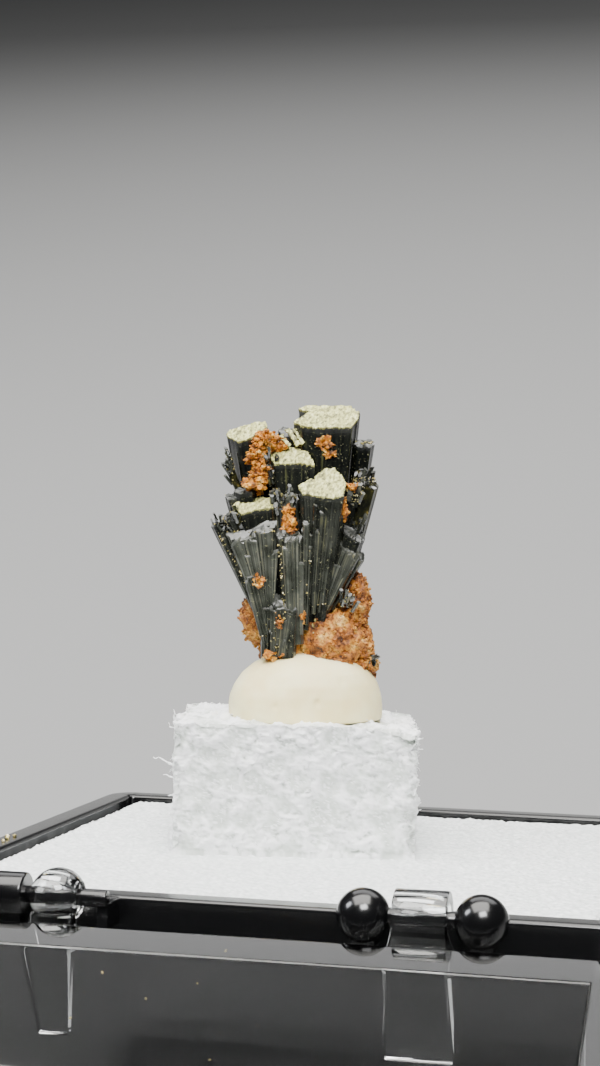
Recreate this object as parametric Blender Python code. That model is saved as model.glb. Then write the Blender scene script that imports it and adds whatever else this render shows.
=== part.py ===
"""Epidote specimen on mounting putty and a foam block, in a small hinged display box that stands open.

The frame is in metres with +Z up and its origin at the middle of the lid's flat top, which the open box stands
on. The clear lid is turned right over, and the black tray hangs back from the hinge on the +Y side until its lower
edge is against the lid's wall, so it slopes down away from the lid with the specimen on it.
Shapes are worked out in millimetres from the hinge axis, each body in its own upright position, and are put in
place and scaled to metres when the object is finished.
"""

import math

import bmesh
import bpy
from mathutils import Matrix, Vector, noise

METRES_PER_MM = 0.001
GAP = 0.2            # clearance between neighbouring solids
ROCK_GAP = 0.15      # clearance between the crystals, the rock and the putty

# Display box, in millimetres
BOX_SIDE = 32.0
CORNER_RADIUS = 1.6
CORNER_STEPS = 4
WALL_TO_AXIS = 1.5           # each hinge wall's outer face to the hinge axis
HINGE_HEIGHT = 26.4          # hinge axis above the lid's flat top
TRAY_DROOP_DEG = 22.0        # how far the tray hangs below level
LID_WALL = 1.75
LID_TOP = 1.9
LID_DRAFT = 0.25             # the lid is this much smaller all round at its top
LID_RIM_BELOW_AXIS = 0.3
LID_EDGE_ROUND = 0.45
TRAY_DEPTH = 7.1
TRAY_WALL = 1.4
TRAY_FLOOR = 1.4
TRAY_DRAFT = 0.2
TRAY_RIM_BELOW_AXIS = 0.12
TRAY_EDGE_ROUND = 0.35
FOAM_BELOW_AXIS = 0.29

# Hinge: two arms on the lid clip over pins on the tray. The left arm ends in a ball, the right one in a flat hook.
HINGE_ACROSS = 7.6           # each hinge from the middle of the box
KNOB_ACROSS = 2.38           # the right hinge's round knobs from its middle
KNOB_RADIUS = 1.1
BARREL_RADIUS = 0.9          # the left hinge's outer bearing is a short barrel
BARREL_ENDS = (-3.95, -1.36)
THIN_LUG_ENDS = (1.65, 2.15)
LUG_HALF_WIDTH = 0.5
LUG_HEIGHTS = (-1.3, -0.17)
PIN_RADIUS = 0.35
PIN_SIDES = 10
EYE_RADIUS = 0.65
HOOK_RADIUS = 1.15
HOOK_OPENING_DEG = -50.0
HOOK_STEPS = 8
BALL_RADIUS = 1.18
ARM_FOOT = -5.9              # lower end of each arm, from the axis
ARM_SHOULDER = -1.45         # where the arm starts to widen
RIGHT_ARM_WIDTHS = (2.2, 3.0, 2.75)   # at the head, the shoulder and the foot
LEFT_ARM_WIDTHS = (1.9, 2.05, 1.3)

# Foam
LINER_SIDE = 28.4
LINER_SHIFT = 0.15
BLOCK_WIDTH = 11.9
BLOCK_LENGTH = 11.6
BLOCK_HEIGHT = 6.25
BLOCK_CENTRE = (-2.3, 3.5)   # from the tray's middle
BLOCK_TURN_DEG = 11.5
BLOCK_STEPS = 7
BLOCK_ROUGHNESS = 0.16

# Specimen: measured across (right), away (back) and up, from a point at the foot of the crystal fan
SPECIMEN_FOOT = (-2.1, 2.7, 9.04)   # from the tray's middle, at the foam's top
SPECIMEN_TURN_DEG = 12.7
SPECIMEN_LEAN_DEG = 1.15
PUTTY_CENTRE = (0.3, 0.3)
PUTTY_HALF_WIDTH = 3.85
PUTTY_HALF_LENGTH = 3.5
PUTTY_TOP = 0.32
FOOT_CUT = 0.42                     # crystals end here, just above the putty
ROCK_CUT = -1.15                    # the rock ends here, pressed into the putty

# tip (across, away, up), root (across, away, up), width, thickness, slope towards the front, slope to the left,
# and the width at the root as a share of the width at the tip
CRYSTALS = (
    ((1.40, 1.60, 12.35), (0.90, 1.20, 0.20), 3.30, 2.20, 31, 1, 0.50),
    ((-2.65, 0.90, 11.55), (-1.20, 0.70, 0.20), 2.10, 1.60, 28, 14, 0.50),
    ((-0.45, 0.20, 10.25), (-0.20, 0.40, 0.20), 2.30, 1.60, 30, 0, 0.55),
    ((1.15, -0.90, 8.90), (0.85, -0.45, 1.30), 2.30, 2.10, 34, 8, 0.30),
    ((-2.30, -0.90, 7.70), (-1.10, -0.40, 0.20), 2.10, 1.40, 30, 5, 0.40),
    ((-0.30, 0.60, 7.20), (-0.25, 0.50, 0.20), 5.20, 2.40, 12, 0, 0.42),
    ((-2.35, -1.30, 6.55), (-1.50, -1.00, 1.60), 2.40, 0.80, 38, 4, 0.25),
    ((-0.38, -1.55, 6.20), (-0.15, -1.10, 0.90), 1.00, 0.80, 35, 5, 0.70),
    ((0.42, -1.20, 6.60), (0.20, -0.95, 1.60), 0.70, 0.80, 35, 0, 0.80),
    ((-0.95, -1.45, 6.45), (-0.60, -1.05, 0.60), 0.50, 0.70, 35, 12, 0.80),
    ((-1.72, -1.25, 2.90), (-1.75, -0.95, 0.20), 0.55, 0.60, 35, 0, 0.80),
    ((-1.10, -1.40, 3.10), (-1.25, -1.05, 0.20), 0.70, 0.70, 35, 0, 0.90),
    ((-0.45, -1.45, 2.90), (-0.60, -1.15, 0.20), 0.90, 0.70, 35, 0, 0.90),
    ((3.30, 0.90, 11.00), (2.50, 0.90, 4.50), 1.05, 0.95, 24, 6, 0.60),
    ((3.50, 0.10, 9.00), (2.20, 0.30, 3.40), 1.05, 0.95, 26, -8, 0.60),
    ((2.70, -0.10, 8.80), (1.60, 0.10, 2.60), 0.90, 0.80, 20, 5, 0.60),
    ((2.72, -0.45, 6.50), (1.80, -0.30, 3.30), 1.30, 0.90, 35, -15, 0.50),
    ((2.50, -0.70, 5.60), (1.20, -0.55, 2.30), 1.20, 0.80, 30, -20, 0.30),
    ((3.05, -0.25, 5.30), (1.60, -0.10, 2.60), 0.60, 0.70, 30, -25, 0.50),
    ((-0.50, 1.70, 11.60), (-0.10, 1.40, 2.00), 1.20, 0.80, 35, -12, 0.60),
    ((-0.80, -0.45, 8.15), (-0.40, -0.05, 0.20), 1.45, 0.90, 48, 0, 0.60),
    ((-2.80, -0.15, 8.60), (-1.10, 0.10, 0.40), 1.10, 0.80, 22, -5, 0.55),
    ((-3.40, 0.00, 8.30), (-1.30, 0.20, 0.60), 0.75, 0.70, 25, -10, 0.55),
    ((-4.10, -0.80, 6.75), (-1.75, -0.75, 1.60), 0.65, 0.60, 20, -30, 0.50),
    ((-3.75, -0.60, 7.20), (-1.60, -0.50, 1.60), 0.65, 0.60, 25, -20, 0.50),
    ((-3.30, -0.95, 7.25), (-1.45, -0.75, 1.30), 0.60, 0.55, 25, 5, 0.50),
    ((-3.85, -0.10, 6.40), (-1.60, 0.10, 1.60), 0.80, 0.90, 20, -15, 0.50),
    ((2.05, -0.75, 7.50), (1.05, -0.50, 1.60), 0.60, 0.60, 30, -12, 0.60),
    ((-1.90, 2.30, 9.60), (-0.80, 1.60, 0.30), 1.70, 1.30, 20, 5, 0.55),
    ((0.20, 2.70, 10.90), (0.10, 1.70, 0.30), 2.00, 1.40, 18, -6, 0.55),
    ((2.30, 2.60, 9.90), (0.80, 1.60, 0.30), 1.50, 1.20, 20, -8, 0.55),
    ((-3.20, 1.70, 8.20), (-1.30, 1.30, 0.60), 1.20, 1.00, 20, -10, 0.55),
    ((3.10, 1.90, 7.60), (1.30, 1.40, 1.20), 1.10, 1.00, 22, -15, 0.55),
    ((-0.80, 3.00, 7.90), (-0.30, 1.90, 0.30), 1.40, 1.10, 15, 0, 0.55),
    ((1.40, 3.00, 7.40), (0.50, 1.90, 0.30), 1.20, 1.00, 15, 5, 0.55),
    ((-2.40, 2.70, 6.30), (-1.10, 1.80, 0.30), 1.10, 0.90, 18, -8, 0.55),
    ((2.60, 2.70, 5.60), (1.20, 1.80, 1.00), 1.00, 0.90, 18, -10, 0.55),
)
FACE_SHARE = 0.62            # width of the broad front and back faces as a share of the whole

# centre (across, away, up), radii (across, away, up)
ROCK_LUMPS = (
    ((1.55, 0.55, 0.75), (2.05, 2.10, 1.90)),
    ((2.75, 0.45, 2.60), (0.75, 0.95, 1.85)),
    ((-1.95, 0.45, 2.15), (0.95, 1.30, 1.50)),
    ((-0.40, 1.00, 0.70), (1.60, 2.00, 1.70)),
    ((3.05, 0.35, 0.20), (0.75, 1.10, 1.35)),
)
UPPER_ROCK_LUMPS = (
    ((-1.75, -0.05, 10.35), (0.55, 0.55, 0.95)),
    ((-1.45, 0.45, 11.30), (0.50, 0.55, 0.60)),
    ((-1.75, -0.20, 9.30), (0.40, 0.45, 0.75)),
)
ROCK_ROUGHNESS = 0.22
ROCK_VOXEL = 0.3
ROCK_TRIANGLES = 1500
UPPER_ROCK_TRIANGLES = 260


def linear(hex_colour):
    """An sRGB hex colour as linear red, green, blue and alpha."""
    channels = [int(hex_colour[i:i + 2], 16) / 255 for i in (0, 2, 4)]
    return [c / 12.92 if c <= 0.04045 else ((c + 0.055) / 1.055) ** 2.4 for c in channels] + [1.0]


def surface(name, hex_colour, roughness, transmission=0.0, ior=1.5):
    """A plain material with the piece's own colour and gloss."""
    material = bpy.data.materials.new(name)
    material.use_nodes = True
    shader = material.node_tree.nodes["Principled BSDF"]
    shader.inputs["Base Color"].default_value = linear(hex_colour)
    shader.inputs["Roughness"].default_value = roughness
    shader.inputs["Metallic"].default_value = 0.0
    shader.inputs["IOR"].default_value = ior
    shader.inputs["Transmission Weight"].default_value = transmission
    return material


def clear_scene():
    for obj in list(bpy.data.objects):
        bpy.data.objects.remove(obj, do_unlink=True)


def scratch_object(bm):
    """An object in millimetres made from a bmesh, which is freed."""
    bmesh.ops.recalc_face_normals(bm, faces=bm.faces)
    mesh = bpy.data.meshes.new("shape")
    bm.to_mesh(mesh)
    bm.free()
    obj = bpy.data.objects.new("shape", mesh)
    bpy.context.scene.collection.objects.link(obj)
    return obj


def apply_modifiers(obj):
    """Replaces the object's mesh with its evaluated one."""
    evaluated = obj.evaluated_get(bpy.context.evaluated_depsgraph_get())
    mesh = bpy.data.meshes.new_from_object(evaluated)
    obj.modifiers.clear()
    obj.data = mesh
    return obj


def combine(obj, other, operation, solver="EXACT"):
    """A Boolean of two scratch objects, which uses up the second one."""
    modifier = obj.modifiers.new("combine", "BOOLEAN")
    modifier.operation = operation
    modifier.solver = solver
    modifier.object = other
    apply_modifiers(obj)
    bpy.data.objects.remove(other, do_unlink=True)
    return obj


def keep_largest(obj):
    """Drops the crumbs that a cut leaves loose beside the main body."""
    bm = bmesh.new()
    bm.from_mesh(obj.data)
    bodies = []
    waiting = set(bm.verts)
    while waiting:
        body = [waiting.pop()]
        for vert in body:
            linked = [edge.other_vert(vert) for edge in vert.link_edges]
            body += [other for other in linked if other in waiting]
            waiting -= set(linked)
        bodies.append(body)
    bodies.sort(key=len)
    for crumb in bodies[:-1]:
        bmesh.ops.delete(bm, geom=crumb, context="VERTS")
    bm.to_mesh(obj.data)
    bm.free()
    return obj


def finish(obj, name, material, place, smooth_angle=None):
    """Names a scratch object and gives it its place, in metres, from millimetres about the hinge axis."""
    obj.name = name
    obj.data.name = name
    obj.data.transform(place)
    obj.data.transform(Matrix.Scale(METRES_PER_MM, 4))
    obj.data.materials.clear()
    obj.data.materials.append(material)
    if smooth_angle is not None:
        obj.data.shade_smooth()
        obj.data.set_sharp_from_angle(angle=math.radians(smooth_angle))
    return obj


def hinge_axis():
    """The middle of the hinge axis in the part's frame, in millimetres."""
    return Vector((0.0, WALL_TO_AXIS + BOX_SIDE / 2, HINGE_HEIGHT))


def tray_place():
    """From the level tray, measured from the hinge axis, to its drooping place."""
    droop = Matrix.Rotation(math.radians(-TRAY_DROOP_DEG), 4, "X")
    return Matrix.Translation(hinge_axis()) @ droop


def rounded_square(half_x, half_y, radius, z, middle=(0.0, 0.0)):
    """The points of a square with round corners, counterclockwise from the +X+Y corner."""
    points = []
    for corner, (sx, sy) in enumerate(((1, 1), (-1, 1), (-1, -1), (1, -1))):
        for step in range(CORNER_STEPS + 1):
            angle = math.radians(90 * (corner + step / CORNER_STEPS))
            points.append(Vector((
                middle[0] + sx * (half_x - radius) + radius * math.cos(angle),
                middle[1] + sy * (half_y - radius) + radius * math.sin(angle),
                z,
            )))
    return points


def loft(rings):
    """A closed solid through rings of equal length, capped at its first and last ring."""
    bm = bmesh.new()
    loops = [[bm.verts.new(point) for point in ring] for ring in rings]
    for lower, upper in zip(loops, loops[1:]):
        for i in range(len(lower)):
            bm.faces.new((lower[i - 1], lower[i], upper[i], upper[i - 1]))
    bm.faces.new(loops[0])
    bm.faces.new(loops[-1])
    return bm


def extruded_profile(outline, half_width_at):
    """A side view in the YZ plane made solid along X, with a width that follows the height."""
    bm = bmesh.new()
    face = bm.faces.new([bm.verts.new((-1.0, y, z)) for y, z in outline])
    extruded = bmesh.ops.extrude_face_region(bm, geom=[face])
    moved = [item for item in extruded["geom"] if isinstance(item, bmesh.types.BMVert)]
    bmesh.ops.translate(bm, verts=moved, vec=(2.0, 0, 0))
    for vert in bm.verts:
        vert.co.x *= half_width_at(vert.co.z)
    return scratch_object(bm)


def box(low, high):
    bm = bmesh.new()
    bmesh.ops.create_cube(bm, size=1.0)
    for vert in bm.verts:
        vert.co = Vector([(a + b) / 2 + c * (b - a) for a, b, c in zip(low, high, vert.co)])
    return scratch_object(bm)


def cylinder(radius, low_x, high_x, sides):
    """A cylinder along the hinge axis."""
    bm = bmesh.new()
    bmesh.ops.create_cone(
        bm, cap_ends=True, segments=sides, radius1=radius, radius2=radius, depth=high_x - low_x
    )
    bmesh.ops.rotate(bm, verts=bm.verts, matrix=Matrix.Rotation(math.radians(90), 3, "Y"))
    bmesh.ops.translate(bm, verts=bm.verts, vec=((low_x + high_x) / 2, 0.0, 0.0))
    return scratch_object(bm)


def ball(radius, x):
    bm = bmesh.new()
    bmesh.ops.create_uvsphere(bm, u_segments=14, v_segments=8, radius=radius)
    bmesh.ops.rotate(bm, verts=bm.verts, matrix=Matrix.Rotation(math.radians(90), 3, "Y"))
    bmesh.ops.translate(bm, verts=bm.verts, vec=(x, 0.0, 0.0))
    return scratch_object(bm)


def box_shell(centre_y, z_closed, z_rim, wall, floor, draft, edge_round):
    """An open box: rings up the outside, over the rim, down the inside and across the floor."""
    half = BOX_SIDE / 2
    narrow = half - draft

    def ring(size, z):
        return rounded_square(size, size, max(CORNER_RADIUS - (half - size), 0.4), z, (0.0, centre_y))

    rings = [
        ring(narrow - edge_round, z_closed),
        ring(narrow - edge_round * 0.3, z_closed + edge_round * 0.3),
        ring(narrow, z_closed + edge_round),
        ring(half, z_rim),
        ring(half - wall, z_rim),
        ring(narrow - wall, z_closed + floor),
    ]
    return scratch_object(loft(rings))


def lug(low_x, high_x):
    low, high = LUG_HEIGHTS
    return box((low_x, 0.0, low), (high_x, WALL_TO_AXIS + TRAY_WALL / 2, high))


def tray():
    centre_y = WALL_TO_AXIS + BOX_SIDE / 2
    z_rim = -TRAY_RIM_BELOW_AXIS
    obj = box_shell(
        centre_y, z_rim - TRAY_DEPTH, z_rim, TRAY_WALL, TRAY_FLOOR, TRAY_DRAFT, TRAY_EDGE_ROUND
    )
    left, right = -HINGE_ACROSS, HINGE_ACROSS
    barrel_end, barrel_start = BARREL_ENDS
    thin_low, thin_high = THIN_LUG_ENDS
    pieces = [
        lug(left + barrel_end, left + barrel_start - 0.3),
        cylinder(BARREL_RADIUS, left + barrel_end, left + barrel_start, 16),
        lug(left + thin_low, left + thin_high),
        cylinder(PIN_RADIUS, left + barrel_start - 0.3, left + thin_high - 0.02, PIN_SIDES),
    ]
    for x in (right - KNOB_ACROSS, right + KNOB_ACROSS):
        pieces += [lug(x - LUG_HALF_WIDTH, x + LUG_HALF_WIDTH), ball(KNOB_RADIUS, x)]
    pieces.append(cylinder(PIN_RADIUS, right - KNOB_ACROSS, right + KNOB_ACROSS, PIN_SIDES))
    for piece in pieces:
        combine(obj, piece, "UNION")
    return finish(obj, "tray", surface("black_polystyrene", "0B0B0C", 0.18), tray_place(), 30)


def shank_outline():
    """The part of an arm's side view that runs down into the lid's wall."""
    wall = -WALL_TO_AXIS
    return [
        (-EYE_RADIUS, ARM_SHOULDER + 0.15),
        (-EYE_RADIUS, ARM_SHOULDER - 0.15),
        (wall + 0.25, ARM_FOOT),
        (wall - 0.5, ARM_FOOT),
        (wall - 0.5, ARM_SHOULDER - 0.15),
        (wall - 0.3, ARM_SHOULDER + 0.15),
    ]


def arm_half_width(widths):
    """Half the width of an arm at a height: even at the head, then from the shoulder to the foot."""
    head, shoulder, foot = widths

    def at(z):
        if z > ARM_SHOULDER:
            return head / 2
        down = (z - ARM_SHOULDER) / (ARM_FOOT - ARM_SHOULDER)
        return (shoulder + (foot - shoulder) * down) / 2

    return at


def hooked_arm():
    """The right arm: an open hook over its pin."""
    span = 180.0 - HOOK_OPENING_DEG
    angles = [math.radians(HOOK_OPENING_DEG + span * i / HOOK_STEPS) for i in range(HOOK_STEPS + 1)]
    inner = [(EYE_RADIUS * math.cos(a), EYE_RADIUS * math.sin(a)) for a in angles]
    outer = [(HOOK_RADIUS * math.cos(a), HOOK_RADIUS * math.sin(a)) for a in reversed(angles)]
    arm = extruded_profile(inner + shank_outline() + outer, arm_half_width(RIGHT_ARM_WIDTHS))
    arm.data.transform(Matrix.Translation((HINGE_ACROSS, 0, 0)))
    return arm


def ball_ended_arm():
    """The left arm: a ball with an eye for its pin and a slot to clip it on by."""
    outline = shank_outline() + [(-HOOK_RADIUS, -0.3), (-EYE_RADIUS - 0.1, -0.3)]
    arm = extruded_profile(outline, arm_half_width(LEFT_ARM_WIDTHS))
    combine(arm, ball(BALL_RADIUS, 0.0), "UNION")
    combine(arm, cylinder(EYE_RADIUS, -2.0, 2.0, 16), "DIFFERENCE")
    combine(arm, box((-2.0, 0.2, -0.55), (2.0, 2.0, -0.05)), "DIFFERENCE")
    arm.data.transform(Matrix.Translation((-HINGE_ACROSS, 0, 0)))
    return arm


def lid():
    obj = box_shell(
        -(WALL_TO_AXIS + BOX_SIDE / 2), -HINGE_HEIGHT, -LID_RIM_BELOW_AXIS,
        LID_WALL, LID_TOP, LID_DRAFT, LID_EDGE_ROUND,
    )
    combine(obj, ball_ended_arm(), "UNION")
    combine(obj, hooked_arm(), "UNION")
    finish(obj, "lid", surface("clear_polystyrene", "F4F6F6", 0.05, 1.0, 1.59), Matrix.Identity(4), 30)
    hinge = bpy.data.objects.new("lid_hinge_axis", None)
    bpy.context.scene.collection.objects.link(hinge)
    hinge.location = hinge_axis() * METRES_PER_MM
    obj.parent = hinge
    return obj


def tray_middle():
    """The middle of the foam liner's top, from the hinge axis with the tray level."""
    return Vector((0.0, WALL_TO_AXIS + BOX_SIDE / 2, -FOAM_BELOW_AXIS))


def foam_liner():
    middle = tray_middle()
    floor = -TRAY_RIM_BELOW_AXIS - TRAY_DEPTH + TRAY_FLOOR + GAP
    half = LINER_SIDE / 2
    centre = (middle.x + LINER_SHIFT, middle.y - LINER_SHIFT)
    rings = [
        rounded_square(half - inset, half - inset, 1.0, z, centre)
        for inset, z in ((0.25, floor), (0.0, middle.z - 0.2), (0.2, middle.z))
    ]
    return finish(scratch_object(loft(rings)), "foam_liner", surface("foam_sheet", "F1F3F2", 0.9), tray_place())


def foam_block():
    """A block cut from bead foam: flat where it is stuck down and where the putty sits, uneven at its sides."""
    bm = bmesh.new()
    bmesh.ops.create_cube(bm, size=1.0)
    bmesh.ops.subdivide_edges(bm, edges=bm.edges, cuts=BLOCK_STEPS, use_grid_fill=True)
    size = Vector((BLOCK_WIDTH, BLOCK_LENGTH, BLOCK_HEIGHT - GAP))
    for vert in bm.verts:
        place = Vector([a * b for a, b in zip(vert.co, size)])
        on_edge = sum(abs(c) > 0.499 for c in vert.co) > 1
        swell = noise.noise_vector(place * 0.9) * BLOCK_ROUGHNESS * 2
        inward = place.normalized() * (0.18 if on_edge else 0.0)
        flat = abs(vert.co.z) > 0.499
        vert.co = place - inward + Vector((swell.x, swell.y, 0.0 if flat else swell.z))
    lowest = min(vert.co.z for vert in bm.verts)
    highest = max(vert.co.z for vert in bm.verts)
    for vert in bm.verts:
        vert.co.z = (vert.co.z - lowest) * (BLOCK_HEIGHT - GAP) / (highest - lowest) + GAP
    centre = tray_middle() + Vector((*BLOCK_CENTRE, 0.0))
    turn = Matrix.Rotation(math.radians(BLOCK_TURN_DEG), 4, "Z")
    bmesh.ops.transform(bm, matrix=Matrix.Translation(centre) @ turn, verts=bm.verts)
    material = surface("expanded_polystyrene", "EEF2F1", 0.85)
    return finish(scratch_object(bm), "foam_block", material, tray_place(), 40)


def specimen_frame():
    """From across, away and up at the specimen's foot to the level tray, in millimetres."""
    lean = Matrix.Rotation(math.radians(-SPECIMEN_LEAN_DEG), 4, "Y")
    turn = Matrix.Rotation(math.radians(SPECIMEN_TURN_DEG), 4, "Z")
    return Matrix.Translation(tray_middle() + Vector(SPECIMEN_FOOT)) @ turn @ lean


def crystal(tip, root, width, thickness, slope_front, slope_left, taper, grow):
    """One flat-faced prism that widens from its root and ends in a sloping cap."""
    tip, root = Vector(tip), Vector(root)
    axis = (tip - root).normalized()
    right = Vector((1, 0, 0)) - axis * axis.x
    right.normalize()
    away = axis.cross(right)
    bm = bmesh.new()
    bmesh.ops.create_cone(bm, cap_ends=True, segments=6, radius1=1.0, radius2=1.0, depth=1.0)
    for vert in bm.verts:
        at_tip = vert.co.z > 0
        angle = math.atan2(vert.co.y, vert.co.x)
        side = math.cos(angle)
        share = FACE_SHARE if abs(side) < 0.75 else 1.0
        across = math.copysign(share, side) * (width / 2)
        back = math.sin(angle) / math.sin(math.radians(60)) * (thickness / 2)
        scale = 1.0 if at_tip else taper
        across = across * scale + math.copysign(grow, across)
        back = back * scale + (math.copysign(grow, back) if abs(back) > 0.01 else 0.0)
        centre = tip if at_tip else root
        rise = grow if at_tip else -grow
        if at_tip:
            rise += back * math.tan(math.radians(slope_front)) + across * math.tan(math.radians(slope_left))
        vert.co = centre + right * across + away * back + axis * rise
    return scratch_object(bm)


def crystal_cluster(grow=0.0):
    """All the crystals as one solid, or with grow, the room that they need."""
    # The MANIFOLD solver, because EXACT leaves open edges where so many slim prisms cross
    cluster = crystal(*CRYSTALS[0], grow)
    for entry in CRYSTALS[1:]:
        combine(cluster, crystal(*entry, grow), "UNION", "MANIFOLD")
    if not grow:
        combine(cluster, box((-9, -9, -3), (9, 9, FOOT_CUT)), "DIFFERENCE", "MANIFOLD")
    return cluster


def rock(lumps, triangles, seed, grow=0.0):
    """Rough lumps run together as one solid, or with grow, the room that they need."""
    bm = bmesh.new()
    for centre, radii in lumps:
        made = bmesh.ops.create_icosphere(bm, subdivisions=4, radius=1.0)
        for vert in made["verts"]:
            out = vert.co.normalized()
            place = Vector(centre) + Vector([a * b for a, b in zip(out, radii)])
            bump = noise.fractal(place * 1.1 + Vector((seed, 0, 0)), 1.0, 2.0, 3)
            vert.co = place + out * (bump * ROCK_ROUGHNESS + grow)
    obj = scratch_object(bm)
    remesh = obj.modifiers.new("fuse", "REMESH")
    remesh.mode = "VOXEL"
    remesh.voxel_size = ROCK_VOXEL if triangles > 800 else ROCK_VOXEL / 2
    apply_modifiers(obj)
    decimate = obj.modifiers.new("facets", "DECIMATE")
    decimate.ratio = min(1.0, triangles / sum(len(p.vertices) - 2 for p in obj.data.polygons))
    return apply_modifiers(obj)


def matrix_rock(grow=0.0):
    obj = rock(ROCK_LUMPS, ROCK_TRIANGLES, 3.0, grow)
    return combine(obj, box((-9, -9, -9), (9, 9, ROCK_CUT - grow)), "DIFFERENCE")


def putty(rock_room):
    """A squashed dome, widest low down, with a dent for the rock."""
    bm = bmesh.new()
    base = -SPECIMEN_FOOT[2] + BLOCK_HEIGHT + GAP
    height = PUTTY_TOP - base
    profile = ((0.90, 0.0), (0.975, 0.07), (1.0, 0.20), (0.985, 0.36), (0.93, 0.53), (0.83, 0.70), (0.68, 0.84),
               (0.48, 0.94), (0.24, 0.99))
    segments = 28
    rings = []
    for share, level in profile:
        ring = []
        for step in range(segments):
            angle = math.tau * step / segments
            direction = Vector((math.cos(angle), math.sin(angle), 0))
            wobble = 1 + 0.035 * noise.noise(direction * 1.3 + Vector((0, 0, level * 1.5)))
            ring.append(Vector((
                PUTTY_CENTRE[0] + direction.x * share * wobble * PUTTY_HALF_WIDTH,
                PUTTY_CENTRE[1] + direction.y * share * wobble * PUTTY_HALF_LENGTH,
                base + level * height,
            )))
        rings.append(ring)
    bm = loft(rings)
    obj = scratch_object(bm)
    obj.data.transform(Matrix.Rotation(math.radians(SPECIMEN_LEAN_DEG), 4, "Y"))
    flat = box((-9, -9, -9), (9, 9, base))
    combine(obj, flat, "DIFFERENCE")
    obj.data.transform(Matrix.Rotation(math.radians(-SPECIMEN_LEAN_DEG), 4, "Y"))
    return combine(obj, rock_room, "DIFFERENCE")


def specimen():
    frame = specimen_frame()
    crystals = crystal_cluster()
    lower_rock = combine(matrix_rock(), crystal_cluster(ROCK_GAP), "DIFFERENCE", "MANIFOLD")
    upper_rock = combine(
        rock(UPPER_ROCK_LUMPS, UPPER_ROCK_TRIANGLES, 8.0), crystal_cluster(ROCK_GAP), "DIFFERENCE", "MANIFOLD"
    )
    dome = putty(matrix_rock(ROCK_GAP))
    pieces = (
        (crystals, "epidote_crystals", surface("epidote", "1B211B", 0.22, ior=1.73)),
        (lower_rock, "matrix", surface("orange_granular_rock", "A9662F", 0.8)),
        (upper_rock, "matrix_upper", surface("orange_granular_crust", "B5612C", 0.8)),
        (dome, "putty", surface("ivory_putty", "E9E4CC", 0.5)),
    )
    for obj, name, material in pieces:
        keep_largest(obj)
        finish(obj, name, material, tray_place() @ frame)


clear_scene()
tray()
lid()
foam_liner()
foam_block()
specimen()
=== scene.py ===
import math
import random

import bmesh
import bpy
from mathutils import Matrix, Vector, noise


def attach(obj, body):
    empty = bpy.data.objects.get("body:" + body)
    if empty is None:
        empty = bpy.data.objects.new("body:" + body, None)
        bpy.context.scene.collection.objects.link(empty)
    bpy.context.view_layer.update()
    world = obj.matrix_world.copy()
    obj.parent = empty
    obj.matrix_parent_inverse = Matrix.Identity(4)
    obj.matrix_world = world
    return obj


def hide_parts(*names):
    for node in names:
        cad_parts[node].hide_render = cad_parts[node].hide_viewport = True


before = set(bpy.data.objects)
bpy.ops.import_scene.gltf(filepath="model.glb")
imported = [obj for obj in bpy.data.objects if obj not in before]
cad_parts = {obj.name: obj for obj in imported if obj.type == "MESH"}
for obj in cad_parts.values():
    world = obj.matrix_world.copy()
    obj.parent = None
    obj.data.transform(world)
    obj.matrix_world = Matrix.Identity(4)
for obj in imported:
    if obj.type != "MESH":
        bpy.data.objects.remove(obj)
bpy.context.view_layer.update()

# An epidote fan on orange rock, pressed into ivory putty on a block of bead foam, in a black tray whose clear
# lid is turned over. Shapes are worked out in millimetres, and put in place in metres when each is finished.
MM = 0.001


# Places

def turned(degrees, axis):
    return Matrix.Rotation(math.radians(degrees), 4, axis)


HINGE_AXIS = Vector((0.0, 17.5, 26.4))
DROOP_DEG = 22.0
LID_PLACE = Matrix.Translation(HINGE_AXIS)
TRAY_PLACE = Matrix.Translation(HINGE_AXIS) @ turned(-DROOP_DEG, "X")
FOAM_TOP = Vector((0.0, 17.5, -0.29))          # middle of the liner's top, from the axis, with the tray level
BLOCK_CENTRE = Vector((-2.3, 3.5, 0.0))        # from the middle of the liner's top
BLOCK_TURN_DEG = 11.5
SPECIMEN_FOOT = Vector((-2.1, 2.7, 9.04))      # foot of the crystal fan, from the middle of the liner's top
SPECIMEN_TURN_DEG = 12.7
SPECIMEN_LEAN_DEG = 1.15
BLOCK_PLACE = TRAY_PLACE @ Matrix.Translation(FOAM_TOP + BLOCK_CENTRE) @ turned(BLOCK_TURN_DEG, "Z")
SPECIMEN_PLACE = (
    TRAY_PLACE @ Matrix.Translation(FOAM_TOP + SPECIMEN_FOOT)
    @ turned(SPECIMEN_TURN_DEG, "Z") @ turned(-SPECIMEN_LEAN_DEG, "Y")
)


# Materials

def linear(hex_colour):
    """An sRGB hex colour as linear red, green, blue and alpha."""
    channels = [int(hex_colour[i:i + 2], 16) / 255 for i in (0, 2, 4)]
    return [c / 12.92 if c <= 0.04045 else ((c + 0.055) / 1.055) ** 2.4 for c in channels] + [1.0]


def per_mm(size):
    """The texture scale, on Object coordinates in metres, that gives features of this size in millimetres."""
    return 1.0 / (size * MM)


def add_node(tree, kind, values=None, **settings):
    """Adds a shader node. Settings are its own options; values are its inputs, numbers or sockets to link."""
    made = tree.nodes.new("ShaderNode" + kind)
    stops = settings.pop("stops", ())
    for name, value in settings.items():
        setattr(made, name, value)
    for name, value in (values or {}).items():
        if isinstance(value, bpy.types.NodeSocket):
            tree.links.new(value, made.inputs[name])
        else:
            made.inputs[name].default_value = value
    while stops and len(made.color_ramp.elements) < len(stops):
        made.color_ramp.elements.new(0.5)
    for i, (position, colour) in enumerate(stops):
        made.color_ramp.elements[i].position = position
        made.color_ramp.elements[i].color = linear(colour)
    return made


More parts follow.
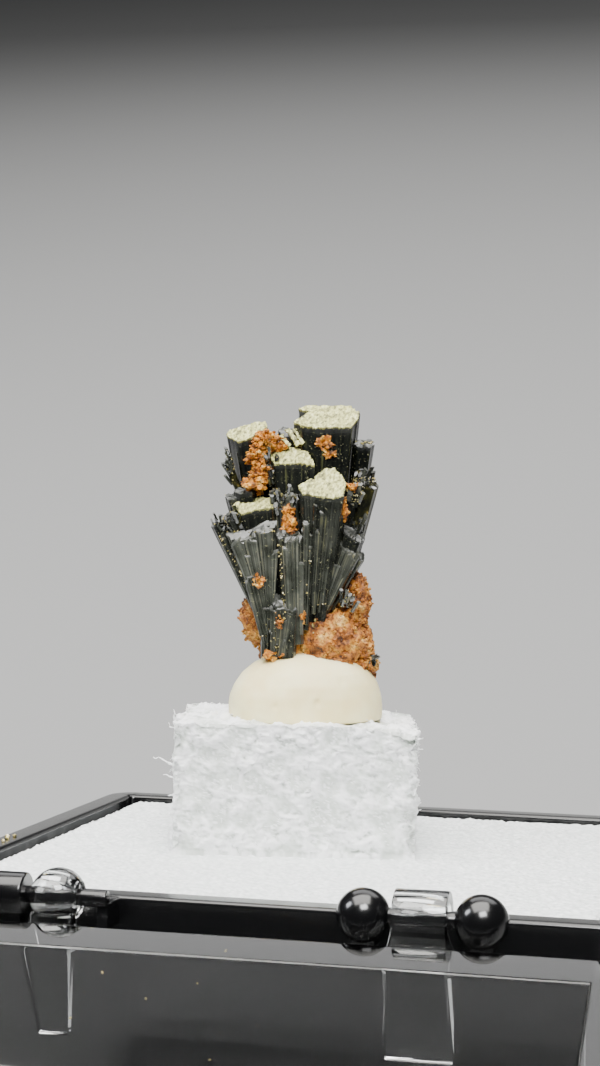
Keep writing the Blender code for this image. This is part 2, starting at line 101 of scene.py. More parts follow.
def new_material(name, **values):
    """A material with a Principled shader whose plain values are set by socket name, with _ for a space."""
    material = bpy.data.materials.new(name)
    material.use_nodes = True
    shader = material.node_tree.nodes["Principled BSDF"]
    for socket, value in values.items():
        shader.inputs[socket.replace("_", " ")].default_value = value
    return material, material.node_tree, shader


def dress(tree, shader, colour, height, depth_mm, strength):
    """Gives a shader its colour socket, and a height socket as relief of a depth in millimetres."""
    if colour is not None:
        tree.links.new(colour, shader.inputs["Base Color"])
    bump = add_node(tree, "Bump", {"Height": height, "Distance": depth_mm * MM, "Strength": strength})
    tree.links.new(bump.outputs["Normal"], shader.inputs["Normal"])


def epidote_face_material():
    # Epidote, grown prism faces: glassy black-green, with painted highlights as grey-green streaks along the
    # raised striations, and on the prisms marked for it a painted grey-green sheen standing in for the
    # reflection of the pale foam and putty below. The broken ends are dull.
    material, tree, shader = new_material("epidote_prism_faces", IOR=1.73)
    marks = add_node(tree, "Attribute", attribute_name="marks")
    split = add_node(tree, "SeparateColor", {"Color": marks.outputs["Color"]})
    place = add_node(tree, "TexCoord").outputs["Object"]
    cloud = add_node(tree, "TexNoise", {"Vector": place, "Scale": per_mm(0.8), "Detail": 5.0})
    # Painted highlight: the striation mark lightens the colour along the raised striations
    streak = add_node(tree, "Math", {0: split.outputs["Red"], 1: cloud.outputs["Fac"]}, operation="MULTIPLY")
    black = add_node(
        tree, "ValToRGB", {"Fac": streak.outputs[0]},
        stops=((0.15, "020302"), (0.34, "0B0E08"), (0.5, "3A3D22")),
    )
    # Painted sheen: grey-green colour standing in for the reflection of the pale foam and putty below
    grey = add_node(
        tree, "ValToRGB", {"Fac": streak.outputs[0]},
        stops=((0.08, "20221B"), (0.2, "3E4139"), (0.34, "5E6058"), (0.52, "88856A")),
    )
    by_painted_sheen = {"Factor": split.outputs["Blue"], "A": black.outputs["Color"], "B": grey.outputs["Color"]}
    colour = add_node(tree, "Mix", by_painted_sheen, data_type="RGBA")
    grit = {"Vector": place, "Scale": per_mm(0.13), "Detail": 3.0, "Roughness": 0.7}
    speck = add_node(tree, "TexNoise", grit).outputs["Fac"]
    mask = add_node(tree, "ValToRGB", {"Fac": speck}, stops=((0.63, "000000"), (0.71, "FFFFFF")))
    pale = add_node(
        tree, "Mix", {"Factor": mask.outputs["Color"], "A": colour.outputs["Result"], "B": linear("8C8A6C")},
        data_type="RGBA",
    )
    dull_ends = ((0.0, "A8A8A8"), (0.06, "3E3E3E"))
    dull = add_node(tree, "ValToRGB", {"Fac": split.outputs["Green"]}, stops=dull_ends)
    tree.links.new(dull.outputs["Color"], shader.inputs["Roughness"])
    dress(tree, shader, pale.outputs["Result"], speck, 0.012, 0.5)
    return material


def olive_epidote_material():
    # Epidote, thin prisms: clear olive glass where the light gets through, darker along the striations
    material, tree, shader = new_material(
        "thin_olive_epidote", Roughness=0.16, IOR=1.73, Transmission_Weight=0.3
    )
    place = add_node(tree, "TexCoord").outputs["Object"]
    cloud = add_node(tree, "TexNoise", {"Vector": place, "Scale": per_mm(0.35), "Detail": 4.0})
    colour = add_node(
        tree, "ValToRGB", {"Fac": cloud.outputs["Fac"]},
        stops=((0.38, "0B0C05"), (0.52, "1F200C"), (0.63, "3E3B18"), (0.74, "7A6B3C")),
    )
    tree.links.new(colour.outputs["Color"], shader.inputs["Base Color"])
    return material


def epidote_end_material():
    # Epidote, etched end faces: a pale yellow-green crust of tiny grains, with painted shade in the pits
    # between them
    material, tree, shader = new_material("epidote_etched_ends", Roughness=0.6, IOR=1.6)
    place = add_node(tree, "TexCoord").outputs["Object"]
    stretch = {"Vector": place, "Rotation": (0.0, 0.6, 0.3), "Scale": (2.2, 1.0, 1.0)}
    scored = add_node(tree, "Mapping", stretch).outputs["Vector"]
    grit = {"Vector": scored, "Scale": per_mm(0.34), "Detail": 6.0, "Roughness": 0.7}
    grain = add_node(tree, "TexNoise", grit).outputs["Fac"]
    # Partly the crust's own pale colour, partly painted shade: dark where the same grain noise sinks the
    # relief
    colour = add_node(
        tree, "ValToRGB", {"Fac": grain},
        stops=((0.36, "3A3A20"), (0.45, "908E52"), (0.55, "C6C47E"), (0.70, "EEECBC")),
    )
    dress(tree, shader, colour.outputs["Color"], grain, 0.05, 0.7)
    return material


def chip_material():
    # Chipped epidote and quartz dust: cream to gold flakes that stay bright on the dark edges
    material, tree, shader = new_material("cream_and_gold_chips", Roughness=0.4, IOR=1.6)
    place = add_node(tree, "TexCoord").outputs["Object"]
    patch = add_node(tree, "TexNoise", {"Vector": place, "Scale": per_mm(0.3), "Detail": 2.0})
    colour = add_node(
        tree, "ValToRGB", {"Fac": patch.outputs["Fac"]},
        stops=((0.38, "3C3A18"), (0.48, "7E7434"), (0.58, "B9A662"), (0.7, "EFE6C0")),
    )
    tree.links.new(colour.outputs["Color"], shader.inputs["Base Color"])
    return material


def rock_material(name, patch_mm, stops):
    # Iron-stained feldspar and quartz, broken: sugary grains from pale yellow to orange and rust, with
    # painted shade darkening the pits, where the grain relief sinks
    material, tree, shader = new_material(name, Roughness=0.62, IOR=1.54)
    place = add_node(tree, "TexCoord").outputs["Object"]
    stain = {"Vector": place, "Scale": per_mm(patch_mm), "Detail": 6.0, "Roughness": 0.7}
    patch = add_node(tree, "TexNoise", stain)
    colour = add_node(tree, "ValToRGB", {"Fac": patch.outputs["Fac"]}, stops=stops)
    grit = {"Vector": place, "Scale": per_mm(0.14), "Detail": 4.0, "Roughness": 0.65}
    grain = add_node(tree, "TexNoise", grit).outputs["Fac"]
    # Painted shade: the colour darkens where the same grain noise sinks the relief
    painted_pit_shade_stops = ((0.34, "5C4634"), (0.46, "E8DCCB"), (0.6, "FFFFFF"))
    painted_pit_shade = add_node(tree, "ValToRGB", {"Fac": grain}, stops=painted_pit_shade_stops)
    mixed = add_node(
        tree, "Mix", {"Factor": 0.85, "A": colour.outputs["Color"], "B": painted_pit_shade.outputs["Color"]},
        data_type="RGBA", blend_type="MULTIPLY",
    )
    dress(tree, shader, mixed.outputs["Result"], grain, 0.06, 0.9)
    return material


def putty_material():
    # Mineral putty, thumbed smooth: ivory, waxy and slightly see-through at its thin edge
    material, tree, shader = new_material(
        "ivory_mineral_putty", Roughness=0.5, IOR=1.45, Subsurface_Weight=0.3, Subsurface_Scale=0.7 * MM,
        Subsurface_Radius=(1.0, 0.8, 0.5),
    )
    place = add_node(tree, "TexCoord").outputs["Object"]
    cloud = add_node(tree, "TexNoise", {"Vector": place, "Scale": per_mm(2.5), "Detail": 4.0}).outputs["Fac"]
    colour = add_node(tree, "ValToRGB", {"Fac": cloud}, stops=((0.35, "EEDCA0"), (0.65, "FDF3C4")))
    crease = add_node(tree, "TexNoise", {"Vector": place, "Scale": per_mm(0.7), "Detail": 6.0})
    dress(tree, shader, colour.outputs["Color"], crease.outputs["Fac"], 0.06, 0.5)
    return material


def block_foam_material():
    # Expanded foam, torn and cut: bright white skins between beads, and greyer, waxy windows in cut beads
    material, tree, shader = new_material(
        "cut_bead_foam", Roughness=0.5, IOR=1.4, Subsurface_Weight=0.3, Subsurface_Scale=0.5 * MM,
        Subsurface_Radius=(1.0, 1.0, 1.0),
    )
    film = add_node(tree, "Attribute", attribute_name="film").outputs["Fac"]
    colour = add_node(tree, "ValToRGB", {"Fac": film}, stops=((0.1, "D2D7D1"), (0.65, "FDFEFE")))
    place = add_node(tree, "TexCoord").outputs["Object"]
    folds = {"Vector": place, "Scale": per_mm(0.32), "Detail": 5.0, "Roughness": 0.6}
    crinkle = add_node(tree, "TexNoise", folds)
    dress(tree, shader, colour.outputs["Color"], crinkle.outputs["Fac"], 0.12, 0.7)
    return material


def sheet_foam_material():
    # Soft packing foam sheet, skived: very fine open cells whose thin skins glitter a little
    material, tree, shader = new_material("skived_foam_sheet", Roughness=0.5, IOR=1.4)
    place = add_node(tree, "TexCoord").outputs["Object"]
    cell = add_node(tree, "TexVoronoi", {"Vector": place, "Scale": per_mm(0.3)}).outputs["Distance"]
    # Painted shade: the white greys towards each cell's rim, where the relief sinks into grooves
    colour = add_node(tree, "ValToRGB", {"Fac": cell}, stops=((0.0, "FDFEFE"), (0.9, "D9DEDD")))
    dress(tree, shader, colour.outputs["Color"], cell, -0.12, 0.7)
    return material


def black_plastic_material():
    # Polystyrene, injection moulded black: deep gloss with the slow ripple of the mould in its reflections
    material, tree, shader = new_material(
        "moulded_black_polystyrene", Base_Color=linear("070708"), Roughness=0.2, IOR=1.59
    )
    place = add_node(tree, "TexCoord").outputs["Object"]
    ripple = add_node(tree, "TexNoise", {"Vector": place, "Scale": per_mm(6.0), "Detail": 3.0})
    dress(tree, shader, None, ripple.outputs["Fac"], 0.03, 0.5)
    return material


def clear_plastic_material():
    # Polystyrene, injection moulded clear: glassy reflections, bright bent edges and the mould's slow ripple
    material, tree, shader = new_material(
        "moulded_clear_polystyrene", Base_Color=linear("FAFBFB"), Roughness=0.03, IOR=1.59,
        Transmission_Weight=1.0,
    )
    place = add_node(tree, "TexCoord").outputs["Object"]
    ripple = add_node(tree, "TexNoise", {"Vector": place, "Scale": per_mm(9.0), "Detail": 2.0})
    dress(tree, shader, None, ripple.outputs["Fac"], 0.02, 0.4)
    return material


# Camera, floor and light

def set_camera():
    data = bpy.data.cameras.new("camera")
    data.sensor_fit = "VERTICAL"
    data.sensor_height = 24.0
    data.lens = 45.03
    data.clip_start = 0.005
    camera = bpy.data.objects.new("camera", data)
    bpy.context.scene.collection.objects.link(camera)
    stand = Matrix.Translation(Vector((20.0, -49.6, 69.9)) * MM)
    aim = turned(-DROOP_DEG, "X") @ turned(12.689, "Z") @ turned(90, "X") @ turned(1.149, "Z")
    camera.matrix_world = stand @ aim
    bpy.context.scene.camera = camera


def set_floor():
    bm = bmesh.new()
    # A hair below the lid's flat top, so that light which leaves the clear plastic always meets the paper
    lowered = Matrix.Translation((0, 0, -0.03 * MM))
    bmesh.ops.create_grid(bm, x_segments=1, y_segments=1, size=3.0, matrix=lowered)
    mesh = bpy.data.meshes.new("floor")
    bm.to_mesh(mesh)
    bm.free()
    floor = bpy.data.objects.new("floor", mesh)
    bpy.context.scene.collection.objects.link(floor)
    # Matte studio paper: plain pale grey with no shine
    material, tree, shader = new_material("matte_studio_paper", Base_Color=linear("868686"), Roughness=0.85)
    mesh.materials.append(material)


def add_light(name, place_mm, aim_mm, size_mm, watts, colour):
    data = bpy.data.lights.new(name, "AREA")
    data.shape = "RECTANGLE"
    data.size, data.size_y = [side * MM for side in size_mm]
    data.energy = watts
    data.color = linear(colour)[:3]
    light = bpy.data.objects.new(name, data)
    bpy.context.scene.collection.objects.link(light)
    place = Vector(place_mm) * MM
    light.rotation_euler = (Vector(aim_mm) * MM - place).to_track_quat("-Z", "Y").to_euler()
    light.location = place


def set_light():
    specimen = (-2, 38, 30)
    add_light("overhead_softbox", (-10, 70, 260), specimen, (260, 200), 1.6, "FFFDF8")
    add_light("front_panel", (50, -80, 270), specimen, (120, 90), 1.1, "FFFFFF")
    add_light("left_panel", (-210, 20, 200), specimen, (70, 90), 0.4, "F6F9FF")
    add_light("rear_panel", (0, 330, 235), (0, 10, 22), (420, 170), 0.65, "FFFFFF")
    world = bpy.data.worlds.new("studio")
    world.use_nodes = True
    world.node_tree.nodes["Background"].inputs["Color"].default_value = linear("C9CCCE")
    world.node_tree.nodes["Background"].inputs["Strength"].default_value = 0.13
    bpy.context.scene.world = world


# Making and placing pieces

def piece(bm, name, place, material, body, smooth_deg, replaces=()):
    """Makes a bmesh in millimetres into a piece in its place, with its object at the origin."""
    mesh = bpy.data.meshes.new(name)
    bm.to_mesh(mesh)
    bm.free()
    mesh.transform(Matrix.Scale(MM, 4) @ place)
    mesh.materials.append(material)
    mesh.shade_smooth()
    mesh.set_sharp_from_angle(angle=math.radians(smooth_deg))
    obj = bpy.data.objects.new(name, mesh)
    bpy.context.scene.collection.objects.link(obj)
    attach(obj, body)
    if replaces:
        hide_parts(*replaces)
    return obj


def outwards(bm):
    bmesh.ops.remove_doubles(bm, verts=bm.verts, dist=1e-5)
    bmesh.ops.recalc_face_normals(bm, faces=bm.faces)


def join(target, source):
    """Adds one bmesh to another and frees it."""
    mesh = bpy.data.meshes.new("joining")
    source.to_mesh(mesh)
    source.free()
    target.from_mesh(mesh)
    bpy.data.meshes.remove(mesh)


def extrude(bm, faces):
    """Extrudes faces and gives the new faces and points. A lone face keeps its first copy as a lid."""
    edges = {edge for face in faces for edge in face.edges}
    made = bmesh.ops.extrude_face_region(bm, geom=list(faces) + list(edges))["geom"]
    new_faces = [item for item in made if isinstance(item, bmesh.types.BMFace)]
    return new_faces, [item for item in made if isinstance(item, bmesh.types.BMVert)]


def round_edges(bm, edges, size, segments):
    bmesh.ops.bevel(bm, geom=edges, offset=size, offset_type="OFFSET", segments=segments, profile=0.5,
                    affect="EDGES", material=-1)


def combined(first, second, operation):
    """A Boolean of two closed bmeshes, which uses both up."""
    objects = []
    for bm in (first, second):
        mesh = bpy.data.meshes.new("combining")
        bm.to_mesh(mesh)
        bm.free()
        objects.append(bpy.data.objects.new("combining", mesh))
        bpy.context.scene.collection.objects.link(objects[-1])
    modifier = objects[0].modifiers.new("combine", "BOOLEAN")
    modifier.operation = operation
    modifier.solver = "EXACT"
    modifier.object = objects[1]
    evaluated = objects[0].evaluated_get(bpy.context.evaluated_depsgraph_get())
    made = bmesh.new()
    made.from_mesh(evaluated.to_mesh())
    evaluated.to_mesh_clear()
    for obj in objects:
        mesh = obj.data
        bpy.data.objects.remove(obj)
        bpy.data.meshes.remove(mesh)
    return made


# Loose grains

def grains(spots, count, sizes, seed, flatness=0.6):
    """Small rough grains, half sunk at chosen spots, each a (point, outward direction) pair."""
    chance = random.Random(seed)
    every = bmesh.new()
    for start in range(0, count, 100):
        batch = bmesh.new()
        for _ in range(min(100, count - start)):
            spot, out = chance.choice(spots)
            size = chance.uniform(*sizes)
            squash = Matrix.Diagonal((1.0, chance.uniform(flatness, 1.0), chance.uniform(flatness, 1.0), 1.0))
            lean = Vector((chance.uniform(-1, 1), chance.uniform(-1, 1), chance.uniform(-1, 1)))
            spin = Matrix.Rotation(chance.uniform(0, math.tau), 4, lean)
            place = Matrix.Translation(spot + out * size * 0.15) @ spin @ squash
            bmesh.ops.create_icosphere(batch, subdivisions=1, radius=size / 2, matrix=place)
        join(every, batch)
    return every


def surface_spots(bm):
    bm.normal_update()
    return [(vert.co.copy(), vert.normal.copy()) for vert in bm.verts]


# Epidote prisms

STRIATION_STEP = 0.06        # distance between the points that carry the striations
FACE_SHARE = 0.62            # width of the broad front and back faces as a share of the whole

# The five big prisms: outline of the sloping end face as (across, up), then tip, root, slope of the end to
# the front and to the left, taper at the root, and painted sheen, from black to a painted grey-green
# reflection
BIG_PRISMS = {
    "tall": (
        ((-0.30, 12.07), (0.15, 11.83), (0.96, 11.74), (2.62, 11.79), (2.98, 12.25), (3.08, 12.55),
         (2.62, 12.98), (0.62, 13.02), (-0.05, 12.88), (-0.02, 12.74), (0.52, 12.70)),
        (1.40, 1.60, 12.35), (0.90, 1.20, 0.20), 31, 1, 0.50, 0.05),
    "upper_left": (
        ((-3.74, 11.41), (-3.13, 11.01), (-2.63, 11.11), (-2.25, 11.36), (-1.67, 11.82), (-1.72, 12.04),
         (-2.07, 12.14), (-3.59, 11.67)),
        (-2.65, 0.90, 11.55), (-1.20, 0.70, 0.20), 28, 14, 0.50, 0.05),
    "middle": (
        ((-1.72, 10.50), (-1.23, 9.87), (-0.03, 9.92), (0.76, 9.77), (0.50, 10.33), (0.15, 10.74),
         (-0.61, 10.74), (-1.67, 10.64)),
        (-0.45, 0.20, 10.25), (-0.20, 0.40, 0.20), 30, 0, 0.55, 0.08),
    "centre_right": (
        ((-0.07, 8.75), (0.12, 8.33), (1.62, 8.13), (2.15, 8.23), (2.31, 8.90), (2.10, 9.34), (1.72, 9.67),
         (1.33, 9.67), (0.75, 9.24)),
        (1.15, -0.90, 8.90), (0.85, -0.45, 1.30), 34, 8, 0.30, 0.30),
    "left_front": (
        ((-3.41, 7.74), (-2.88, 7.32), (-2.25, 7.54), (-1.38, 7.64), (-1.18, 7.93), (-1.47, 8.18),
         (-2.34, 8.23), (-3.21, 7.93)),
        (-2.30, -0.90, 7.70), (-1.10, -0.40, 0.20), 30, 5, 0.40, 0.10),
}

# The others: tip, root, width, thickness, slope of the end to the front and to the left, taper and painted
# sheen
PRISMS = (
    ((-0.30, 0.60, 7.20), (-0.25, 0.50, 0.20), 5.20, 2.40, 12, 0, 0.42, 0.10),
    ((-2.35, -1.30, 6.55), (-1.50, -1.00, 1.60), 2.40, 0.80, 38, 4, 0.25, 0.60),
    ((-0.38, -1.55, 6.20), (-0.15, -1.10, 0.90), 1.00, 0.80, 35, 5, 0.70, 0.80),
    ((0.42, -1.20, 6.60), (0.20, -0.95, 1.60), 0.70, 0.80, 35, 0, 0.80, 0.50),
    ((-0.95, -1.45, 6.45), (-0.60, -1.05, 0.60), 0.50, 0.70, 35, 12, 0.80, 0.25),
    ((-1.72, -1.25, 2.90), (-1.75, -0.95, 0.20), 0.55, 0.60, 35, 0, 0.80, 0.60),
    ((-1.10, -1.40, 3.10), (-1.25, -1.05, 0.20), 0.70, 0.70, 35, 0, 0.90, 0.45),
    ((-0.45, -1.45, 2.90), (-0.60, -1.15, 0.20), 0.90, 0.70, 35, 0, 0.90, 0.40),
    ((3.30, 0.90, 11.00), (2.50, 0.90, 4.50), 1.05, 0.95, 24, 6, 0.60, 0.00),
    ((2.70, -0.10, 8.80), (1.60, 0.10, 2.60), 0.90, 0.80, 20, 5, 0.60, 0.10),
    ((2.72, -0.45, 6.50), (1.80, -0.30, 3.30), 1.30, 0.90, 35, -15, 0.50, 0.15),
    ((2.50, -0.70, 5.60), (1.20, -0.55, 2.30), 1.20, 0.80, 30, -20, 0.30, 0.55),
    ((3.05, -0.25, 5.30), (1.60, -0.10, 2.60), 0.60, 0.70, 30, -25, 0.50, 0.40),
    ((-0.50, 1.70, 11.60), (-0.10, 1.40, 2.00), 1.20, 0.80, 35, -12, 0.60, 0.10),
    ((-0.80, -0.45, 8.15), (-0.40, -0.05, 0.20), 1.45, 0.90, 48, 0, 0.60, 0.45),
    ((-2.80, -0.15, 8.60), (-1.10, 0.10, 0.40), 1.10, 0.80, 22, -5, 0.55, 0.05),
    ((-3.40, 0.00, 8.30), (-1.30, 0.20, 0.60), 0.75, 0.70, 25, -10, 0.55, 0.10),
    ((-4.10, -0.80, 6.75), (-1.75, -0.75, 1.60), 0.65, 0.60, 20, -30, 0.50, 0.25),
    ((-3.75, -0.60, 7.20), (-1.60, -0.50, 1.60), 0.65, 0.60, 25, -20, 0.50, 0.10),
    ((-3.30, -0.95, 7.25), (-1.45, -0.75, 1.30), 0.60, 0.55, 25, 5, 0.50, 0.20),
    ((-3.85, -0.10, 6.40), (-1.60, 0.10, 1.60), 0.80, 0.90, 20, -15, 0.50, 0.15),
    ((2.05, -0.75, 7.50), (1.05, -0.50, 1.60), 0.60, 0.60, 30, -12, 0.60, 0.20),
    ((-1.90, 2.30, 9.60), (-0.80, 1.60, 0.30), 1.70, 1.30, 20, 5, 0.55, 0.10),
    ((0.20, 2.70, 10.90), (0.10, 1.70, 0.30), 2.00, 1.40, 18, -6, 0.55, 0.10),
    ((2.30, 2.60, 9.90), (0.80, 1.60, 0.30), 1.50, 1.20, 20, -8, 0.55, 0.10),
    ((-3.20, 1.70, 8.20), (-1.30, 1.30, 0.60), 1.20, 1.00, 20, -10, 0.55, 0.20),
    ((3.10, 1.90, 7.60), (1.30, 1.40, 1.20), 1.10, 1.00, 22, -15, 0.55, 0.15),
    ((-0.80, 3.00, 7.90), (-0.30, 1.90, 0.30), 1.40, 1.10, 15, 0, 0.55, 0.30),
    ((1.40, 3.00, 7.40), (0.50, 1.90, 0.30), 1.20, 1.00, 15, 5, 0.55, 0.25),
    ((-2.40, 2.70, 6.30), (-1.10, 1.80, 0.30), 1.10, 0.90, 18, -8, 0.55, 0.45),
    ((2.60, 2.70, 5.60), (1.20, 1.80, 1.00), 1.00, 0.90, 18, -10, 0.55, 0.45),
)
OLIVE_PRISMS = (
    ((3.50, 0.10, 9.00), (2.20, 0.30, 3.40), 1.05, 0.95, 26, -8, 0.60, 0.20),
    ((-3.20, -1.10, 7.35), (-2.40, -0.90, 5.00), 0.42, 0.40, 30, 10, 0.60, 0.30),
    ((-3.62, 0.30, 9.80), (-2.60, 0.40, 7.50), 0.45, 0.60, 20, -25, 0.70, 0.30),
)

# Broad faces that are bundles of thin blades: top left, top right, bottom left, bottom right, blades and
# painted sheen
BLADE_FACES = (
    ((-3.45, -1.58, 6.35), (-1.14, -1.70, 6.60), (-1.95, -1.38, 2.40), (-1.32, -1.45, 2.10), 7, 0.70),
    ((-0.84, -1.92, 6.10), (0.10, -1.92, 6.20), (-0.55, -1.50, 1.30), (0.10, -1.50, 1.40), 4, 0.90),
    ((0.16, -1.65, 6.90), (0.70, -1.70, 7.10), (0.10, -1.36, 1.90), (0.40, -1.34, 1.90), 3, 0.50),
    ((0.70, -1.90, 7.95), (2.02, -1.78, 7.95), (0.52, -1.30, 2.40), (1.16, -1.25, 2.50), 8, 0.40),
    ((1.95, -1.05, 5.60), (3.05, -0.85, 5.45), (1.10, -0.95, 2.60), (1.45, -0.80, 2.60), 7, 0.60),
    ((-4.20, -0.95, 6.60), (-3.60, -1.15, 6.60), (-2.00, -1.10, 1.90), (-1.75, -1.20, 1.90), 4, 0.30),
    ((-1.40, -1.68, 2.80), (-0.10, -1.68, 2.70), (-1.40, -1.42, 0.30), (-0.60, -1.42, 0.30), 5, 0.50),
    ((-2.70, -1.60, 4.20), (-2.30, -1.62, 4.30), (-1.75, -1.30, 0.60), (-1.45, -1.35, 0.60), 3, 0.75),
)
# Little crystals in bunches: middle, spread, how many, the way they point, width and painted sheen
BUNCHES = (
    ((-3.75, -0.95, 6.60), (0.60, 0.25, 0.45), 34, (-0.45, -0.15, 1.0), 0.20, 0.30),
    ((-3.20, -1.05, 7.00), (0.35, 0.20, 0.30), 16, (-0.20, -0.20, 1.0), 0.24, 0.25),
    ((-3.42, 0.10, 9.60), (0.16, 0.30, 0.75), 22, (-0.50, -0.10, 1.0), 0.20, 0.35),
    ((-0.90, -0.75, 7.95), (0.65, 0.20, 0.40), 18, (0.05, -0.25, 1.0), 0.30, 0.45),
    ((3.10, -0.10, 8.90), (0.55, 0.30, 0.20), 16, (0.35, -0.10, 1.0), 0.22, 0.20),
    ((2.65, -0.35, 7.90), (0.35, 0.20, 0.60), 16, (0.25, -0.20, 1.0), 0.26, 0.30),
    ((2.80, -0.20, 6.50), (0.30, 0.25, 0.20), 12, (0.30, -0.10, 1.0), 0.26, 0.25),
    ((-1.45, -0.05, 9.30), (0.25, 0.25, 0.60), 14, (-0.15, -0.30, 1.0), 0.24, 0.20),
    ((2.45, -0.75, 2.90), (0.35, 0.15, 0.35), 16, (0.30, -0.50, 1.0), 0.20, 0.60),
    ((3.45, -0.30, -0.20), (0.20, 0.15, 0.30), 8, (0.50, -0.20, 0.6), 0.22, 0.20),
    ((-0.90, -1.45, 0.90), (0.60, 0.15, 0.40), 12, (0.00, -0.20, 1.0), 0.20, 0.50),
)
# Pale broken layers on the tall prism's left shoulder, as (across, up) outlines
LAYERS = (
    ((-1.02, 11.38), (-0.86, 11.46), (-0.46, 10.86), (-0.60, 10.78)),
    ((-0.74, 11.70), (-0.50, 11.76), (0.02, 10.96), (-0.16, 10.84)),
    ((-0.40, 11.74), (-0.22, 11.72), (0.24, 11.04), (0.10, 10.92)),
)


def slope_depth(tip, front_deg, left_deg, across, up):
    """How far away a point of a sloping end face is, from where it shows across and up."""
    rise = up - tip[2] - (across - tip[0]) * math.tan(math.radians(left_deg))
    return tip[1] + rise / math.tan(math.radians(front_deg))


def end_outline(tip, root, width, thickness, front_deg, left_deg):
    """The six corners of a small prism's end face."""
    tip, root = Vector(tip), Vector(root)
    axis = (tip - root).normalized()
    right = (Vector((1, 0, 0)) - axis * axis.x).normalized()
    away = axis.cross(right)
    broad = FACE_SHARE
    corners = []
    for across, back in ((1, 0), (broad, 1), (-broad, 1), (-1, 0), (-broad, -1), (broad, -1)):
        across *= width / 2
        back *= thickness / 2
        rise = back * math.tan(math.radians(front_deg)) + across * math.tan(math.radians(left_deg))
        corners.append(tip + right * across + away * back + axis * rise)
    return corners


def prism(corners, tip, root, taper, painted_sheen, seed, groove=1.0, chipped=0.0, rows=8):
    """A striated prism: the end face's outline gets its grooves, then is drawn down to the root."""
    tip, root = Vector(tip), Vector(root)
    axis = (tip - root).normalized()
    bm = bmesh.new()
    marks = bm.verts.layers.float_color.new("marks")
    cap = bm.faces.new([bm.verts.new(corner) for corner in corners])
    for edge in list(cap.edges):
        bmesh.ops.subdivide_edges(bm, edges=[edge], cuts=max(1, int(edge.calc_length() / STRIATION_STEP)))
    ring = [loop.vert for loop in cap.loops]
    along = 0.0
    grooved = []
    for i, vert in enumerate(ring):
        along += (vert.co - ring[i - 1].co).length if i else 0.0
        rib = noise.noise(Vector((along / 0.40, seed, 2)))
        line = noise.noise(Vector((along / 0.15, seed, 0)))
        hair = noise.noise(Vector((along / 0.06, seed, 5)))
        off = vert.co - tip
        out = (off - axis * off.dot(axis)).normalized()
        chip = chipped * (noise.noise(Vector((along / 0.2, seed, 9))) + 0.4 * hair)
        grooved.append(vert.co + out * (rib * 0.075 + line * 0.03 + hair * 0.012) * groove + axis * chip)
        # marks: red lightens along the raised striations as a painted highlight, green is how far down the
        # prism, blue is the painted sheen
        vert[marks] = (min(max(0.5 + 0.55 * line + 0.3 * hair, 0.0), 1.0), 0.0, painted_sheen, 1.0)
    for vert, place in zip(ring, grooved):
        vert.co = place
    moving = [cap]
    for row in range(1, rows + 1):
        before, now = (row - 1) / rows, row / rows
        moving, verts = extrude(bm, moving)
        share = (1 - (1 - taper) * now) / (1 - (1 - taper) * before)
        old_centre, centre = tip.lerp(root, before), tip.lerp(root, now)
        for vert in verts:
            off = vert.co - old_centre
            lift = axis * off.dot(axis)
            bend = 1 + 0.03 * noise.noise(Vector((vert.co.z * 0.8, off.x * 3, seed)))
            vert.co = centre + (off - lift) * share * bend + lift * (1 - now) / (1 - before)
            vert[marks] = (vert[marks][0], now, painted_sheen, 1.0)
    if chipped:
        bm.faces.ensure_lookup_table()
        ends = [face for face in bm.faces if len(face.verts) > 4]
        end = max(ends, key=lambda face: face.calc_center_median().z)
        reach = math.sqrt(end.calc_area())
        for step in range(2):
            bmesh.ops.inset_region(bm, faces=[end], thickness=reach * 0.15)
            for vert in end.verts:
                vert.co += axis * reach * 0.16 * noise.noise(vert.co * (5 + 4 * step) + Vector((seed, 0, 0)))
                vert[marks] = (0.5, 0.0, painted_sheen * 0.5 + 0.2, 1.0)
        bmesh.ops.poke(bm, faces=[end], offset=reach * 0.05)
    outwards(bm)
    return bm


def bunch(middle, spread, count, direction, width, painted_sheen, seed):
    """Little crystals growing every which way, mostly in one direction."""
    chance = random.Random(seed)
    every = bmesh.new()
    for i in range(count):
        root = Vector(middle) + Vector([chance.gauss(0, 0.5) * reach for reach in spread])
        aim = Vector(direction).normalized() + Vector([chance.uniform(-0.35, 0.35) for _ in range(3)])
        tip = root + aim * chance.uniform(0.25, 0.65)
        wide, deep = chance.uniform(0.5, 1.2) * width, chance.uniform(0.4, 0.9) * width
        slopes = (chance.uniform(10, 50), chance.uniform(-35, 35))
        crystal_painted_sheen = min(max(painted_sheen + chance.uniform(-0.3, 0.3), 0.0), 1.0)
        corners = end_outline(tip, root, wide, deep, *slopes)
        join(every, prism(corners, tip, root, 0.9, crystal_painted_sheen, seed + i, 0.2, rows=1))
    return every


